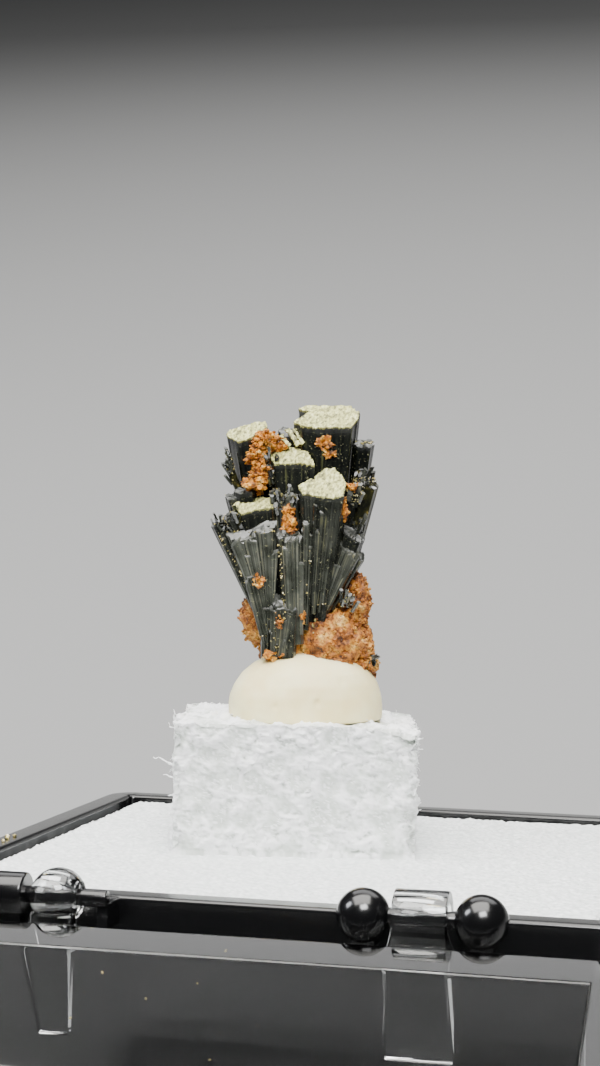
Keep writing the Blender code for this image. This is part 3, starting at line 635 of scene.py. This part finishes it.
def blades(top_left, top_right, bottom_left, bottom_right, count, painted_sheen, seed):
    """Thin blades side by side down a broad face, with their ends broken off at different heights."""
    chance = random.Random(seed)
    corners = [Vector(corner) for corner in (top_left, top_right, bottom_left, bottom_right)]
    top_step = (corners[1] - corners[0]).length / count
    taper = (corners[3] - corners[2]).length / count / top_step
    every = bmesh.new()
    for i in range(count):
        at = (i + chance.uniform(0.25, 0.75)) / count
        top, bottom = corners[0].lerp(corners[1], at), corners[2].lerp(corners[3], at)
        start = chance.choice((0.0, 0.0, 0.02, 0.04, 0.08, 0.25))
        stop = chance.choice((1.0, 1.0, 0.92, 0.8))
        tip, root = top.lerp(bottom, start), top.lerp(bottom, stop)
        tip.y += chance.uniform(-0.03, 0.05)
        wide = top_step * chance.uniform(1.3, 2.1) * (1 - (1 - taper) * start)
        deep = chance.uniform(0.16, 0.26)
        ends = (chance.uniform(15, 50), chance.uniform(-30, 30))
        blade_painted_sheen = min(max(painted_sheen + chance.uniform(-0.2, 0.2), 0.0), 1.0)
        end = end_outline(tip, root, wide, deep, *ends)
        join(every, prism(end, tip, root, max(taper, 0.35), blade_painted_sheen, seed * 31 + i, 0.35, 0.05, 6))
    return every


def inside(outline, across, up):
    """Whether a point lies within an outline of (across, up) corners."""
    found = False
    for (x1, y1), (x2, y2) in zip(outline, outline[1:] + outline[:1]):
        if (y1 > up) != (y2 > up) and across < x1 + (up - y1) / (y2 - y1) * (x2 - x1):
            found = not found
    return found


def end_crust(outline, tip, front_deg, left_deg, seed):
    """The granular end face of a big prism: a fine grid cut to the outline, roughened and made thick."""
    wide = [corner[0] for corner in outline]
    tall = [corner[1] for corner in outline]
    size = Vector((max(wide) - min(wide) + 0.1, max(tall) - min(tall) + 0.1))
    middle = Vector(((max(wide) + min(wide)) / 2, (max(tall) + min(tall)) / 2))
    bm = bmesh.new()
    bmesh.ops.create_grid(bm, x_segments=int(size.x / 0.04), y_segments=int(size.y / 0.024), size=0.5)
    normal = Vector((-math.tan(math.radians(left_deg)), -math.tan(math.radians(front_deg)), 1.0)).normalized()
    for vert in bm.verts:
        across = middle.x + vert.co.x * size.x
        up = middle.y + vert.co.y * size.y
        vert.co = (across, slope_depth(tip, front_deg, left_deg, across, up), up)
    outer = []
    for face in bm.faces:
        centre = face.calc_center_median()
        ragged = 0.07 * noise.noise(Vector((centre.x * 7, centre.z * 12, seed)))
        if not inside(outline, centre.x + ragged, centre.z + ragged * 0.6):
            outer.append(face)
    bmesh.ops.delete(bm, geom=outer, context="FACES")
    for vert in bm.verts:
        vert.co -= normal * 0.03
    top_verts = extrude(bm, list(bm.faces))[1]
    for vert in top_verts:
        grain = noise.fractal(vert.co * 4.5 + Vector((seed, 0, 0)), 0.8, 2.0, 4)
        vert.co += normal * (0.105 + 0.05 * grain)
    outwards(bm)
    return bm


def chip_spots(bm, seed):
    """Edges of the prisms where chips lodge: mostly round the broken ends, some down the sides."""
    chance = random.Random(seed)
    bm.normal_update()
    spots = []
    for edge in bm.edges:
        if len(edge.link_faces) != 2:
            continue
        rounds_an_end = any(len(face.verts) > 4 for face in edge.link_faces)
        likely = 0.22 if rounds_an_end else 0.02 if edge.calc_face_angle() > 0.5 else 0.0
        if chance.random() < likely and edge.verts[0].co.z > 0.6:
            spots.append((edge.verts[0].co.copy(), edge.verts[0].normal.copy()))
    return spots


# Seams where chips gather: from, to, how many and how far they stray
CHIP_SEAMS = (
    ((-4.25, -1.10, 6.75), (-2.65, -1.45, 4.05), 46, 0.10),
    ((-2.65, -1.50, 4.05), (-1.60, -1.45, 1.60), 24, 0.08),
    ((-1.05, -1.85, 6.20), (-0.75, -1.70, 2.10), 60, 0.09),
    ((1.90, -1.10, 6.20), (1.25, -1.25, 4.00), 40, 0.08),
    ((1.95, -1.20, 7.60), (1.80, -1.20, 6.00), 20, 0.07),
    ((0.55, -1.75, 5.90), (0.30, -1.70, 3.20), 14, 0.08),
    ((-3.45, -1.60, 6.45), (-1.15, -1.75, 6.60), 26, 0.07),
    ((-4.20, -0.90, 6.90), (-3.10, -1.00, 7.45), 60, 0.16),
    ((-3.60, 0.15, 10.30), (-3.30, 0.10, 8.90), 46, 0.12),
    ((2.85, 0.45, 11.05), (3.75, 0.45, 11.05), 26, 0.09),
    ((2.60, -0.40, 9.15), (3.85, -0.35, 9.10), 40, 0.12),
    ((2.30, -0.55, 8.75), (3.00, -0.55, 8.10), 26, 0.14),
    ((-1.60, -0.95, 8.40), (-0.10, -0.95, 8.30), 30, 0.12),
    ((-1.30, -1.75, 2.30), (-1.20, -1.55, 0.60), 16, 0.06),
    ((0.75, -1.30, 2.30), (0.60, -1.15, 1.50), 12, 0.08),
)


def seam_spots(seed):
    chance = random.Random(seed)
    spots = []
    for start, end, count, stray in CHIP_SEAMS:
        for _ in range(count):
            at = Vector(start).lerp(Vector(end), chance.random())
            off = Vector((chance.uniform(-1, 1), chance.uniform(-0.5, 0.5), chance.uniform(-1, 1))) * stray
            spots.append((at + off, Vector((0, -1, 0))))
    return spots


def make_crystals():
    faces = bmesh.new()
    ends = bmesh.new()
    for seed, (outline, tip, root, front_deg, left_deg, taper, painted_sheen) in enumerate(BIG_PRISMS.values()):
        corners = [(x, slope_depth(tip, front_deg, left_deg, x, z), z) for x, z in outline]
        join(faces, prism(corners, tip, root, taper, painted_sheen, seed))
        join(ends, end_crust(outline, tip, front_deg, left_deg, seed))
    for seed, (tip, root, wide, deep, front_deg, left_deg, taper, painted_sheen) in enumerate(PRISMS):
        corners = end_outline(tip, root, wide, deep, front_deg, left_deg)
        join(faces, prism(corners, tip, root, taper, painted_sheen, 20 + seed, chipped=0.10))
    for seed, face in enumerate(BLADE_FACES):
        join(faces, blades(*face, seed + 60))
    for seed, entry in enumerate(BUNCHES):
        join(faces, bunch(*entry, 200 + 50 * seed))
    olive = bmesh.new()
    for seed, (tip, root, wide, deep, front_deg, left_deg, taper, painted_sheen) in enumerate(OLIVE_PRISMS):
        corners = end_outline(tip, root, wide, deep, front_deg, left_deg)
        join(olive, prism(corners, tip, root, taper, painted_sheen, 50 + seed, chipped=0.08))
    for seed, outline in enumerate(LAYERS):
        join(ends, end_crust(list(outline), (-0.40, 0.90, 11.30), 60, 0, 90 + seed))
    spots = chip_spots(faces, 1) + chip_spots(olive, 2)
    chips = grains(spots, 700, (0.04, 0.10), 6, 0.3)
    join(chips, grains(seam_spots(3), 420, (0.04, 0.14), 8, 0.25))
    place, body, slot = SPECIMEN_PLACE, "tray", "epidote"
    piece(faces, "crystal_fan", place, epidote_face_material(), body, 24, ("epidote_crystals",))
    piece(olive, "olive_crystals", place, olive_epidote_material(), body, 24)
    piece(ends, "crystal_ends", place, epidote_end_material(), body, 60)
    piece(chips, "edge_chips", place, chip_material(), body, 20)


# Orange rock

ROCK_LUMPS = (
    ((1.55, 0.55, 0.75), (2.05, 2.10, 1.90)),
    ((2.75, 0.45, 2.60), (0.75, 0.95, 1.85)),
    ((-1.95, 0.45, 2.15), (0.95, 1.30, 1.50)),
    ((-0.40, 1.00, 0.70), (1.60, 2.00, 1.70)),
    ((3.05, 0.35, 0.20), (0.75, 1.10, 1.35)),
)
UPPER_ROCK_LUMPS = (
    ((-2.20, 0.00, 10.35), (0.42, 0.40, 0.80)),
    ((-1.62, 0.35, 11.10), (0.36, 0.40, 0.45)),
    ((-2.10, -0.10, 9.35), (0.40, 0.36, 0.85)),
    ((-1.00, 0.85, 10.85), (0.45, 0.30, 0.20)),
)
# Thin crusts of the same rock on the crystals: centre and radii
ROCK_PATCHES = (
    ((1.25, 0.60, 11.00), (0.38, 0.12, 0.36)),
    ((1.50, 0.62, 10.45), (0.30, 0.10, 0.20)),
    ((-2.10, -1.58, 4.05), (0.24, 0.06, 0.34)),
    ((-1.05, -1.66, 2.15), (0.22, 0.08, 0.36)),
    ((0.15, -1.56, 2.20), (0.16, 0.06, 0.24)),
    ((-0.50, -1.25, 6.80), (0.30, 0.20, 0.55)),
    ((-0.55, -0.95, 7.40), (0.28, 0.20, 0.40)),
    ((2.25, -0.95, 7.60), (0.14, 0.14, 0.60)),
    ((2.60, -0.45, 8.80), (0.30, 0.20, 0.16)),
    ((-2.60, -0.40, 8.95), (0.20, 0.20, 0.30)),
    ((-1.20, -1.20, 0.35), (0.60, 0.30, 0.25)),
)


def rock_lumps(lumps, detail, coarse, fine):
    bm = bmesh.new()
    for centre, radii in lumps:
        made = bmesh.ops.create_icosphere(bm, subdivisions=detail, radius=1.0)
        for vert in made["verts"]:
            out = vert.co.normalized()
            place = Vector(centre) + Vector([a * b for a, b in zip(out, radii)])
            swell = noise.fractal(place * 1.1 + Vector((3, 0, 0)), 1.0, 2.0, 3) * coarse
            crumb = noise.fractal(place * 5.0, 0.7, 2.1, 3) * fine
            vert.co = place + out * (swell + crumb)
    return bm


def make_rock():
    orange = rock_material(
        "iron_stained_rock", 0.8,
        ((0.33, "2C1C0A"), (0.41, "7A4410"), (0.48, "AE6A1C"), (0.55, "C48A34"), (0.62, "D2A854"),
         (0.74, "E4CDA2")),
    )
    rust = rock_material(
        "rust_red_crust", 0.35,
        ((0.36, "3A2206"), (0.43, "9A5A0A"), (0.50, "CC8010"), (0.58, "DCA030"), (0.68, "F2DCA0")),
    )
    lower = rock_lumps(ROCK_LUMPS, 5, 0.26, 0.17)
    join(lower, grains(surface_spots(lower), 2600, (0.07, 0.26), 4, 0.4))
    piece(lower, "matrix_rock", SPECIMEN_PLACE, orange, "tray", 50, ("matrix",))
    upper = rock_lumps(UPPER_ROCK_LUMPS, 5, 0.34, 0.34)
    join(upper, grains(surface_spots(upper), 900, (0.10, 0.34), 5, 0.05))
    piece(upper, "upper_crust", SPECIMEN_PLACE, rust, "tray", 30, ("matrix_upper",))
    patches = rock_lumps(ROCK_PATCHES, 4, 0.14, 0.22)
    join(patches, grains(surface_spots(patches), 500, (0.05, 0.20), 7, 0.10))
    piece(patches, "rock_patches", SPECIMEN_PLACE, rust, "tray", 50)


# Putty

PUTTY_HALF = (3.92, 3.5)
PUTTY_CENTRE = (0.36, 0.3)
PUTTY_BASE, PUTTY_TOP = -3.05, 0.55
PUTTY_PROFILE = (
    (0.97, 0.0), (0.985, 0.04), (0.995, 0.10), (1.0, 0.22), (0.985, 0.37), (0.93, 0.53), (0.83, 0.69),
    (0.68, 0.83), (0.48, 0.93), (0.24, 0.985), (0.0, 1.0),
)
PUTTY_PORES = (
    (-1.35, -2.9, -1.62), (-1.25, -2.95, -2.05), (0.9, -3.0, -1.9), (2.1, -2.5, -0.9), (-2.3, -2.3, -0.8),
)


def make_putty():
    bm = bmesh.new()
    spine = [bm.verts.new((share, 0.0, level)) for share, level in PUTTY_PROFILE]
    edges = [bm.edges.new(pair) for pair in zip(spine, spine[1:])]
    bmesh.ops.spin(
        bm, geom=spine + edges, cent=(0, 0, 0), axis=(0, 0, 1), angle=math.tau, steps=72, use_merge=True
    )
    bmesh.ops.remove_doubles(bm, verts=bm.verts, dist=1e-4)
    bmesh.ops.holes_fill(bm, edges=[edge for edge in bm.edges if edge.is_boundary], sides=0)
    sides = [
        edge for edge in bm.edges
        if edge.calc_length() > 0.06 and all(len(face.verts) == 4 for face in edge.link_faces)
    ]
    bmesh.ops.subdivide_edges(bm, edges=sides, cuts=2, use_grid_fill=True)
    for vert in bm.verts:
        around = Vector((vert.co.x, vert.co.y, 0))
        wobble = 1 + 0.045 * noise.noise(around * 1.3 + Vector((0, 0, vert.co.z * 1.5)))
        place = Vector((
            PUTTY_CENTRE[0] + vert.co.x * wobble * PUTTY_HALF[0],
            PUTTY_CENTRE[1] + vert.co.y * wobble * PUTTY_HALF[1],
            PUTTY_BASE + vert.co.z * (PUTTY_TOP - PUTTY_BASE),
        ))
        dent = sum(math.exp(-((place - Vector(pore)).length / 0.13) ** 2) for pore in PUTTY_PORES)
        vert.co = place - around.normalized() * dent * 0.14
    bmesh.ops.recalc_face_normals(bm, faces=bm.faces)
    putty = piece(bm, "putty_dome", SPECIMEN_PLACE, putty_material(), "tray", 80, ("putty",))
    smooth = putty.modifiers.new("smooth", "SUBSURF")
    smooth.levels = smooth.render_levels = 1


# Foam

BLOCK_SIZE = Vector((11.9, 11.6, 6.25))
BEAD = 1.25                  # across one bead of the block
# Torn slivers at the block's edges: foot, direction, length and width
SLIVERS = (
    ((-5.75, -5.2, 6.0), (-0.35, -0.3, 1.0), 0.75, 0.22),
    ((-5.80, -5.3, 5.9), (-1.0, 0.1, 0.5), 0.55, 0.18),
    ((-5.85, -5.5, 4.15), (-1.0, -0.1, 0.55), 1.05, 0.20),
    ((-5.85, -5.4, 3.55), (-1.0, 0.0, 0.2), 0.50, 0.16),
    ((-5.85, -5.2, 2.70), (-1.0, -0.2, -0.1), 0.30, 0.20),
    ((5.70, -5.3, 5.60), (1.0, -0.1, 0.35), 0.42, 0.22),
    ((5.75, -5.2, 5.15), (1.0, 0.0, -0.1), 0.38, 0.18),
    ((4.90, -3.0, 6.20), (-0.1, 0.0, 1.0), 0.60, 0.05),
    ((5.80, -5.4, 3.40), (1.0, 0.0, 0.3), 0.25, 0.15),
)


def sliver(foot, direction, length, width, seed, cuts=9, sides=7):
    """A thin curled shred of foam: a cone drawn out, flattened and bent."""
    bm = bmesh.new()
    bmesh.ops.create_cone(bm, cap_ends=True, segments=sides, radius1=width / 2, radius2=width / 7, depth=1.0)
    uprights = [edge for edge in bm.edges if abs(edge.verts[0].co.z - edge.verts[1].co.z) > 0.5]
    bmesh.ops.subdivide_edges(bm, edges=uprights, cuts=cuts)
    for vert in bm.verts:
        level = vert.co.z + 0.5
        curl = noise.noise_vector(Vector((level * 2.2, seed, 0))) * level * 0.35
        vert.co = Vector((vert.co.x, vert.co.y * 0.5, level * length)) + curl * length
        vert.co += noise.noise_vector(vert.co * 9 + Vector((seed, 0, 0))) * width * 0.25
    aim = Vector(direction).to_track_quat("Z", "Y").to_matrix().to_4x4()
    bmesh.ops.transform(bm, verts=bm.verts, matrix=Matrix.Translation(foot) @ aim)
    outwards(bm)
    return bm


def make_block():
    bm = bmesh.new()
    bmesh.ops.create_cube(bm, size=1.0)
    bmesh.ops.subdivide_edges(bm, edges=bm.edges, cuts=118, use_grid_fill=True)
    film_mark = bm.verts.layers.float.new("film")
    for vert in bm.verts:
        place = Vector([a * b for a, b in zip(vert.co, BLOCK_SIZE)])
        out = Vector([math.copysign(1, c) if abs(c) > 0.499 else 0.0 for c in vert.co]).normalized()
        swirl = noise.noise_vector(place * 1.4) * 0.5 + noise.noise_vector(place * 4.0) * 0.16
        near = noise.voronoi((place + swirl) / BEAD + Vector((7, 2, 5)))[0]
        torn = min(max(0.55 + 1.3 * noise.noise(place * 1.1 + Vector((0, 5, 0))), 0.0), 1.0)
        ridge = math.exp(-((near[1] - near[0]) / 0.2) ** 2) * torn
        dome = 1 - near[0] ** 2 * 1.6
        creases = 1 - 2 * abs(noise.fractal(place * 1.9 + swirl, 0.75, 2.1, 5))
        crumple = noise.fractal(place * 4.5, 0.6, 2.0, 3)
        ragged = noise.noise(place * 1.3 + Vector((3, 0, 0)))
        corner = max(0.0, 1 - (sum(BLOCK_SIZE.xy) / 2 - abs(place.x) - abs(place.y)) / 1.1)
        depth = 0.12 * dome + 0.17 * ridge + 0.14 * creases * torn + 0.06 * crumple + 0.16 * ragged - 0.26
        depth -= corner * 0.45 * max(0.0, 0.35 + noise.fractal(place * 1.5, 0.7, 2.0, 3))
        if place.z < -BLOCK_SIZE.z / 2 + 0.01:
            out, depth = Vector((0, 0, -1)), 0.25
        worn = 0.35 * min(max((place.x - 3.0) / 3.0, 0.0), 1.0) * (place.z > 2.0)
        vert.co = place + out * depth + Vector((0, 0, BLOCK_SIZE.z / 2 - worn))
        vert[film_mark] = min(max(0.1 + 0.8 * ridge + 0.5 * creases * torn + 0.3 * crumple, 0.0), 1.0)
    chance = random.Random(12)
    flanks = [vert for vert in bm.verts if 0.1 < vert.co.z and max(abs(vert.co.x), abs(vert.co.y)) > 3.0]
    flakes = []
    for i in range(520):
        vert = chance.choice(flanks)
        out = Vector((vert.co.x, vert.co.y, 0)).normalized() if vert.co.z < 6.0 else Vector((0, 0, 1))
        any_way = Vector((chance.uniform(-1, 1), chance.uniform(-1, 1), chance.uniform(-1, 1)))
        along = out.cross(any_way).normalized()
        reach, width = chance.uniform(0.15, 0.5), chance.uniform(0.05, 0.16)
        flakes.append((vert.co - out * 0.04, along + out * chance.uniform(0.1, 0.5), reach, width))
    for start in range(0, len(flakes), 40):
        batch = bmesh.new()
        for i, flake in enumerate(flakes[start:start + 40]):
            join(batch, sliver(*flake, start + i, 2, 4))
        join(bm, batch)
    for seed, entry in enumerate(SLIVERS):
        join(bm, sliver(*entry, seed))
    film_mark = bm.verts.layers.float["film"]
    for vert in bm.verts:
        if vert[film_mark] == 0.0 and len(vert.link_faces) > 0 and vert.co.z > 0.5:
            vert[film_mark] = 0.8
    bmesh.ops.recalc_face_normals(bm, faces=bm.faces)
    piece(bm, "bead_foam_block", BLOCK_PLACE, block_foam_material(), "tray", 70,
          ("foam_block",))


def make_liner():
    bm = bmesh.new()
    half, deep = 14.2, 5.4
    bmesh.ops.create_grid(bm, x_segments=230, y_segments=230, size=half)
    for vert in bm.verts:
        grain = noise.fractal(vert.co * 2.9, 0.5, 2.0, 4)
        swell = noise.noise(vert.co * 0.35)
        vert.co.z = 0.085 * grain + 0.05 * swell - 0.12
        edge_gap = half - max(abs(vert.co.x), abs(vert.co.y))
        if edge_gap < 0.15:
            vert.co.xy *= 1 - 0.006 * (1 + noise.noise(vert.co * 1.4))
            vert.co.z -= 0.05
    rim = [edge for edge in bm.edges if edge.is_boundary]
    made = bmesh.ops.extrude_edge_only(bm, edges=rim)["geom"]
    for item in made:
        if isinstance(item, bmesh.types.BMVert):
            item.co.z = -deep
    bmesh.ops.holes_fill(bm, edges=[edge for edge in bm.edges if edge.is_boundary], sides=0)
    outwards(bm)
    place = TRAY_PLACE @ Matrix.Translation(FOAM_TOP + Vector((0.15, -0.15, 0)))
    piece(bm, "foam_sheet", place, sheet_foam_material(), "tray", 70, ("foam_liner",))


# Tray and lid

SIDE = 32.0
CORNER = 1.6                 # radius of the tray's and the lid's outer corners
HINGE_ACROSS = 7.6           # middle of each hinge, from the box's middle
ARM_FOOT = -5.15             # where the lid's arms end, from the hinge axis


def shell(closed_z, rim_z, wall, floor, draft, rim_round, closed_round, centre_y):
    """A square box with round corners, open at its rim, with its walls drawn in towards its closed end."""
    bm = bmesh.new()
    bmesh.ops.create_cube(bm, size=1.0)
    for vert in bm.verts:
        vert.co = (vert.co.x * SIDE, vert.co.y * SIDE, closed_z if vert.co.z < 0 else rim_z)
    round_edges(bm, [e for e in bm.edges if abs(e.verts[0].co.z - e.verts[1].co.z) > 1], CORNER, 7)
    mouth = max(bm.faces, key=lambda face: face.calc_center_median().z)
    bmesh.ops.inset_region(bm, faces=[mouth], thickness=wall, use_even_offset=True)
    if wall > CORNER:
        # A wall thicker than the outer corner's radius leaves a square inner corner, so its points become one
        bmesh.ops.remove_doubles(bm, verts=mouth.verts, dist=0.25)
        mouth = max((f for f in bm.faces if len(f.verts) < 8 and f.calc_center_median().z > rim_z - 1e-3),
                    key=lambda face: face.calc_area())
    inner_verts = extrude(bm, [mouth])[1]
    bmesh.ops.translate(bm, verts=inner_verts, vec=(0, 0, closed_z + floor - rim_z))
    for vert in bm.verts:
        share = 1 - draft / (SIDE / 2) * (rim_z - vert.co.z) / (rim_z - closed_z)
        vert.co.x *= share
        vert.co.y *= share
    bm.normal_update()
    for level, size, segments in ((rim_z, rim_round, 3), (closed_z, closed_round, 4)):
        turn = [edge for edge in bm.edges if all(abs(vert.co.z - level) < 1e-3 for vert in edge.verts)
                and len(edge.link_faces) == 2 and edge.calc_face_angle() > 1.0]
        round_edges(bm, turn, size, segments)
    bmesh.ops.translate(bm, verts=bm.verts, vec=(0, centre_y, 0))
    bmesh.ops.recalc_face_normals(bm, faces=bm.faces)
    return bm


def soft_block(low, high):
    """A block between two corners, with its edges softened."""
    bm = bmesh.new()
    bmesh.ops.create_cube(bm, size=1.0)
    for vert in bm.verts:
        vert.co = Vector([(a + b) / 2 + c * (b - a) for a, b, c in zip(low, high, vert.co)])
    round_edges(bm, bm.edges[:], 0.08, 2)
    return bm


def rod(radius, low_x, high_x, round_over):
    """A rod along the hinge axis with softened ends."""
    bm = bmesh.new()
    length = high_x - low_x
    bmesh.ops.create_cone(bm, cap_ends=True, segments=40, radius1=radius, radius2=radius, depth=length)
    if round_over:
        round_edges(bm, [edge for edge in bm.edges if edge.calc_face_angle() > 1.0], round_over, 3)
    place = Matrix.Translation(((low_x + high_x) / 2, 0, 0)) @ turned(90, "Y")
    bmesh.ops.transform(bm, verts=bm.verts, matrix=place)
    return bm


def ball(radius, x):
    bm = bmesh.new()
    place = Matrix.Translation((x, 0, 0)) @ turned(90, "Y")
    bmesh.ops.create_uvsphere(bm, u_segments=48, v_segments=28, radius=radius, matrix=place)
    return bm


def flatten(moulding):
    """Keeps a moulding's flat faces evenly shaded up to their rounded edges."""
    even = moulding.modifiers.new("flat_faces", "WEIGHTED_NORMAL")
    even.keep_sharp = True


def make_tray():
    bm = shell(
        closed_z=-7.22, rim_z=-0.12, wall=1.4, floor=1.4, draft=0.2, rim_round=0.22, closed_round=0.35,
        centre_y=17.5,
    )
    left, right = -HINGE_ACROSS, HINGE_ACROSS
    for x in (right - 2.38, right + 2.38):
        join(bm, soft_block((x - 0.5, 0.0, -1.3), (x + 0.5, 2.2, -0.17)))
        join(bm, ball(1.1, x))
    for part in (
        rod(0.35, right - 2.3, right + 2.3, 0.05),
        soft_block((left - 3.95, 0.0, -1.3), (left - 1.66, 2.2, -0.17)),
        rod(0.9, left - 3.95, left - 1.36, 0.12),
        soft_block((left + 1.65, 0.0, -1.3), (left + 2.15, 2.2, -0.17)),
        rod(0.35, left - 1.66, left + 2.13, 0.05),
    ):
        join(bm, part)
    material = black_plastic_material()
    flatten(piece(bm, "black_tray", TRAY_PLACE, material, "tray", 32, ("tray",)))


def arm(side_view, widths):
    """An arm of the lid: its side view drawn out to the widths of its head, shoulder and foot."""
    bm = bmesh.new()
    face = bm.faces.new([bm.verts.new((-1.0, y, z)) for y, z in side_view])
    bmesh.ops.translate(bm, verts=extrude(bm, [face])[1], vec=(2.0, 0, 0))
    head, shoulder, foot = widths
    for vert in bm.verts:
        down = min(max((vert.co.z + 1.45) / (ARM_FOOT + 1.45), 0.0), 1.0)
        flare = min(max((vert.co.z + 0.6) / -1.0, 0.0), 1.0)
        vert.co.x *= (head + (shoulder - head) * flare + (foot - shoulder) * down) / 2
    bmesh.ops.recalc_face_normals(bm, faces=bm.faces)
    round_edges(bm, [edge for edge in bm.edges if edge.calc_face_angle(0) > 1.2], 0.07, 2)
    return bm


# The straight part of an arm's side view, as (away, up) from the hinge axis
SHANK = [(-0.65, -1.30), (-0.68, -1.60), (-1.15, ARM_FOOT), (-1.95, ARM_FOOT), (-1.95, -1.60), (-1.70, -1.30)]


def hooked_arm():
    steps = 20
    angles = [math.radians(-50 + 230 * i / steps) for i in range(steps + 1)]
    inner = [(0.65 * math.cos(a), 0.65 * math.sin(a)) for a in angles]
    outer = [(1.15 * math.cos(a), 1.15 * math.sin(a)) for a in reversed(angles)]
    bm = arm(inner + SHANK + outer, (2.2, 3.0, 2.75))
    bmesh.ops.translate(bm, verts=bm.verts, vec=(HINGE_ACROSS, 0, 0))
    return bm


def ball_ended_arm():
    bm = arm(SHANK + [(-1.15, -0.3), (-0.75, -0.3)], (1.9, 2.05, 1.3))
    bm = combined(bm, ball(1.18, 0.0), "UNION")
    bm = combined(bm, rod(0.65, -2.0, 2.0, 0.0), "DIFFERENCE")
    bmesh.ops.translate(bm, verts=bm.verts, vec=(-HINGE_ACROSS, 0, 0))
    return bm


def make_lid():
    bm = shell(
        closed_z=-26.4, rim_z=-0.3, wall=1.75, floor=1.9, draft=0.25, rim_round=0.2, closed_round=0.45,
        centre_y=-17.5,
    )
    bm = combined(bm, hooked_arm(), "UNION")
    bm = combined(bm, ball_ended_arm(), "UNION")
    material = clear_plastic_material()
    flatten(piece(bm, "clear_lid", LID_PLACE, material, "lid", 32, ("lid",)))


# Specks of dust on the inside of the lid's hinge wall, as (across, up), and crumbs of rock on the tray's left
# rim, as (across, away)
DUST = (
    (-4.8, -1.3), (-0.9, -1.5), (-3.1, -2.4), (-0.7, -5.1), (3.7, -4.6), (-6.4, -3.6), (6.1, -2.2),
    (1.4, -3.3),
)
CRUMBS = ((-15.35, 13.0), (-15.2, 13.4), (-15.4, 13.8), (-15.3, 14.2), (-15.45, 14.6), (-15.25, 15.1))


def make_dust():
    spots = [(Vector((x, -3.27 - 0.008 * z, z)), Vector((0, -1, 0))) for x, z in DUST]
    specks = grains(spots, 16, (0.06, 0.16), 21, 0.4)
    piece(specks, "lid_dust", LID_PLACE, chip_material(), "lid", 20)
    spots = [(Vector((x, y, -0.10)), Vector((0, 0, 1))) for x, y in CRUMBS]
    crumbs = grains(spots, 18, (0.10, 0.30), 22, 0.5)
    piece(crumbs, "rim_crumbs", TRAY_PLACE, chip_material(), "tray", 20)


set_camera()
set_floor()
set_light()
make_crystals()
make_rock()
make_putty()
make_block()
make_liner()
make_tray()
make_lid()
make_dust()
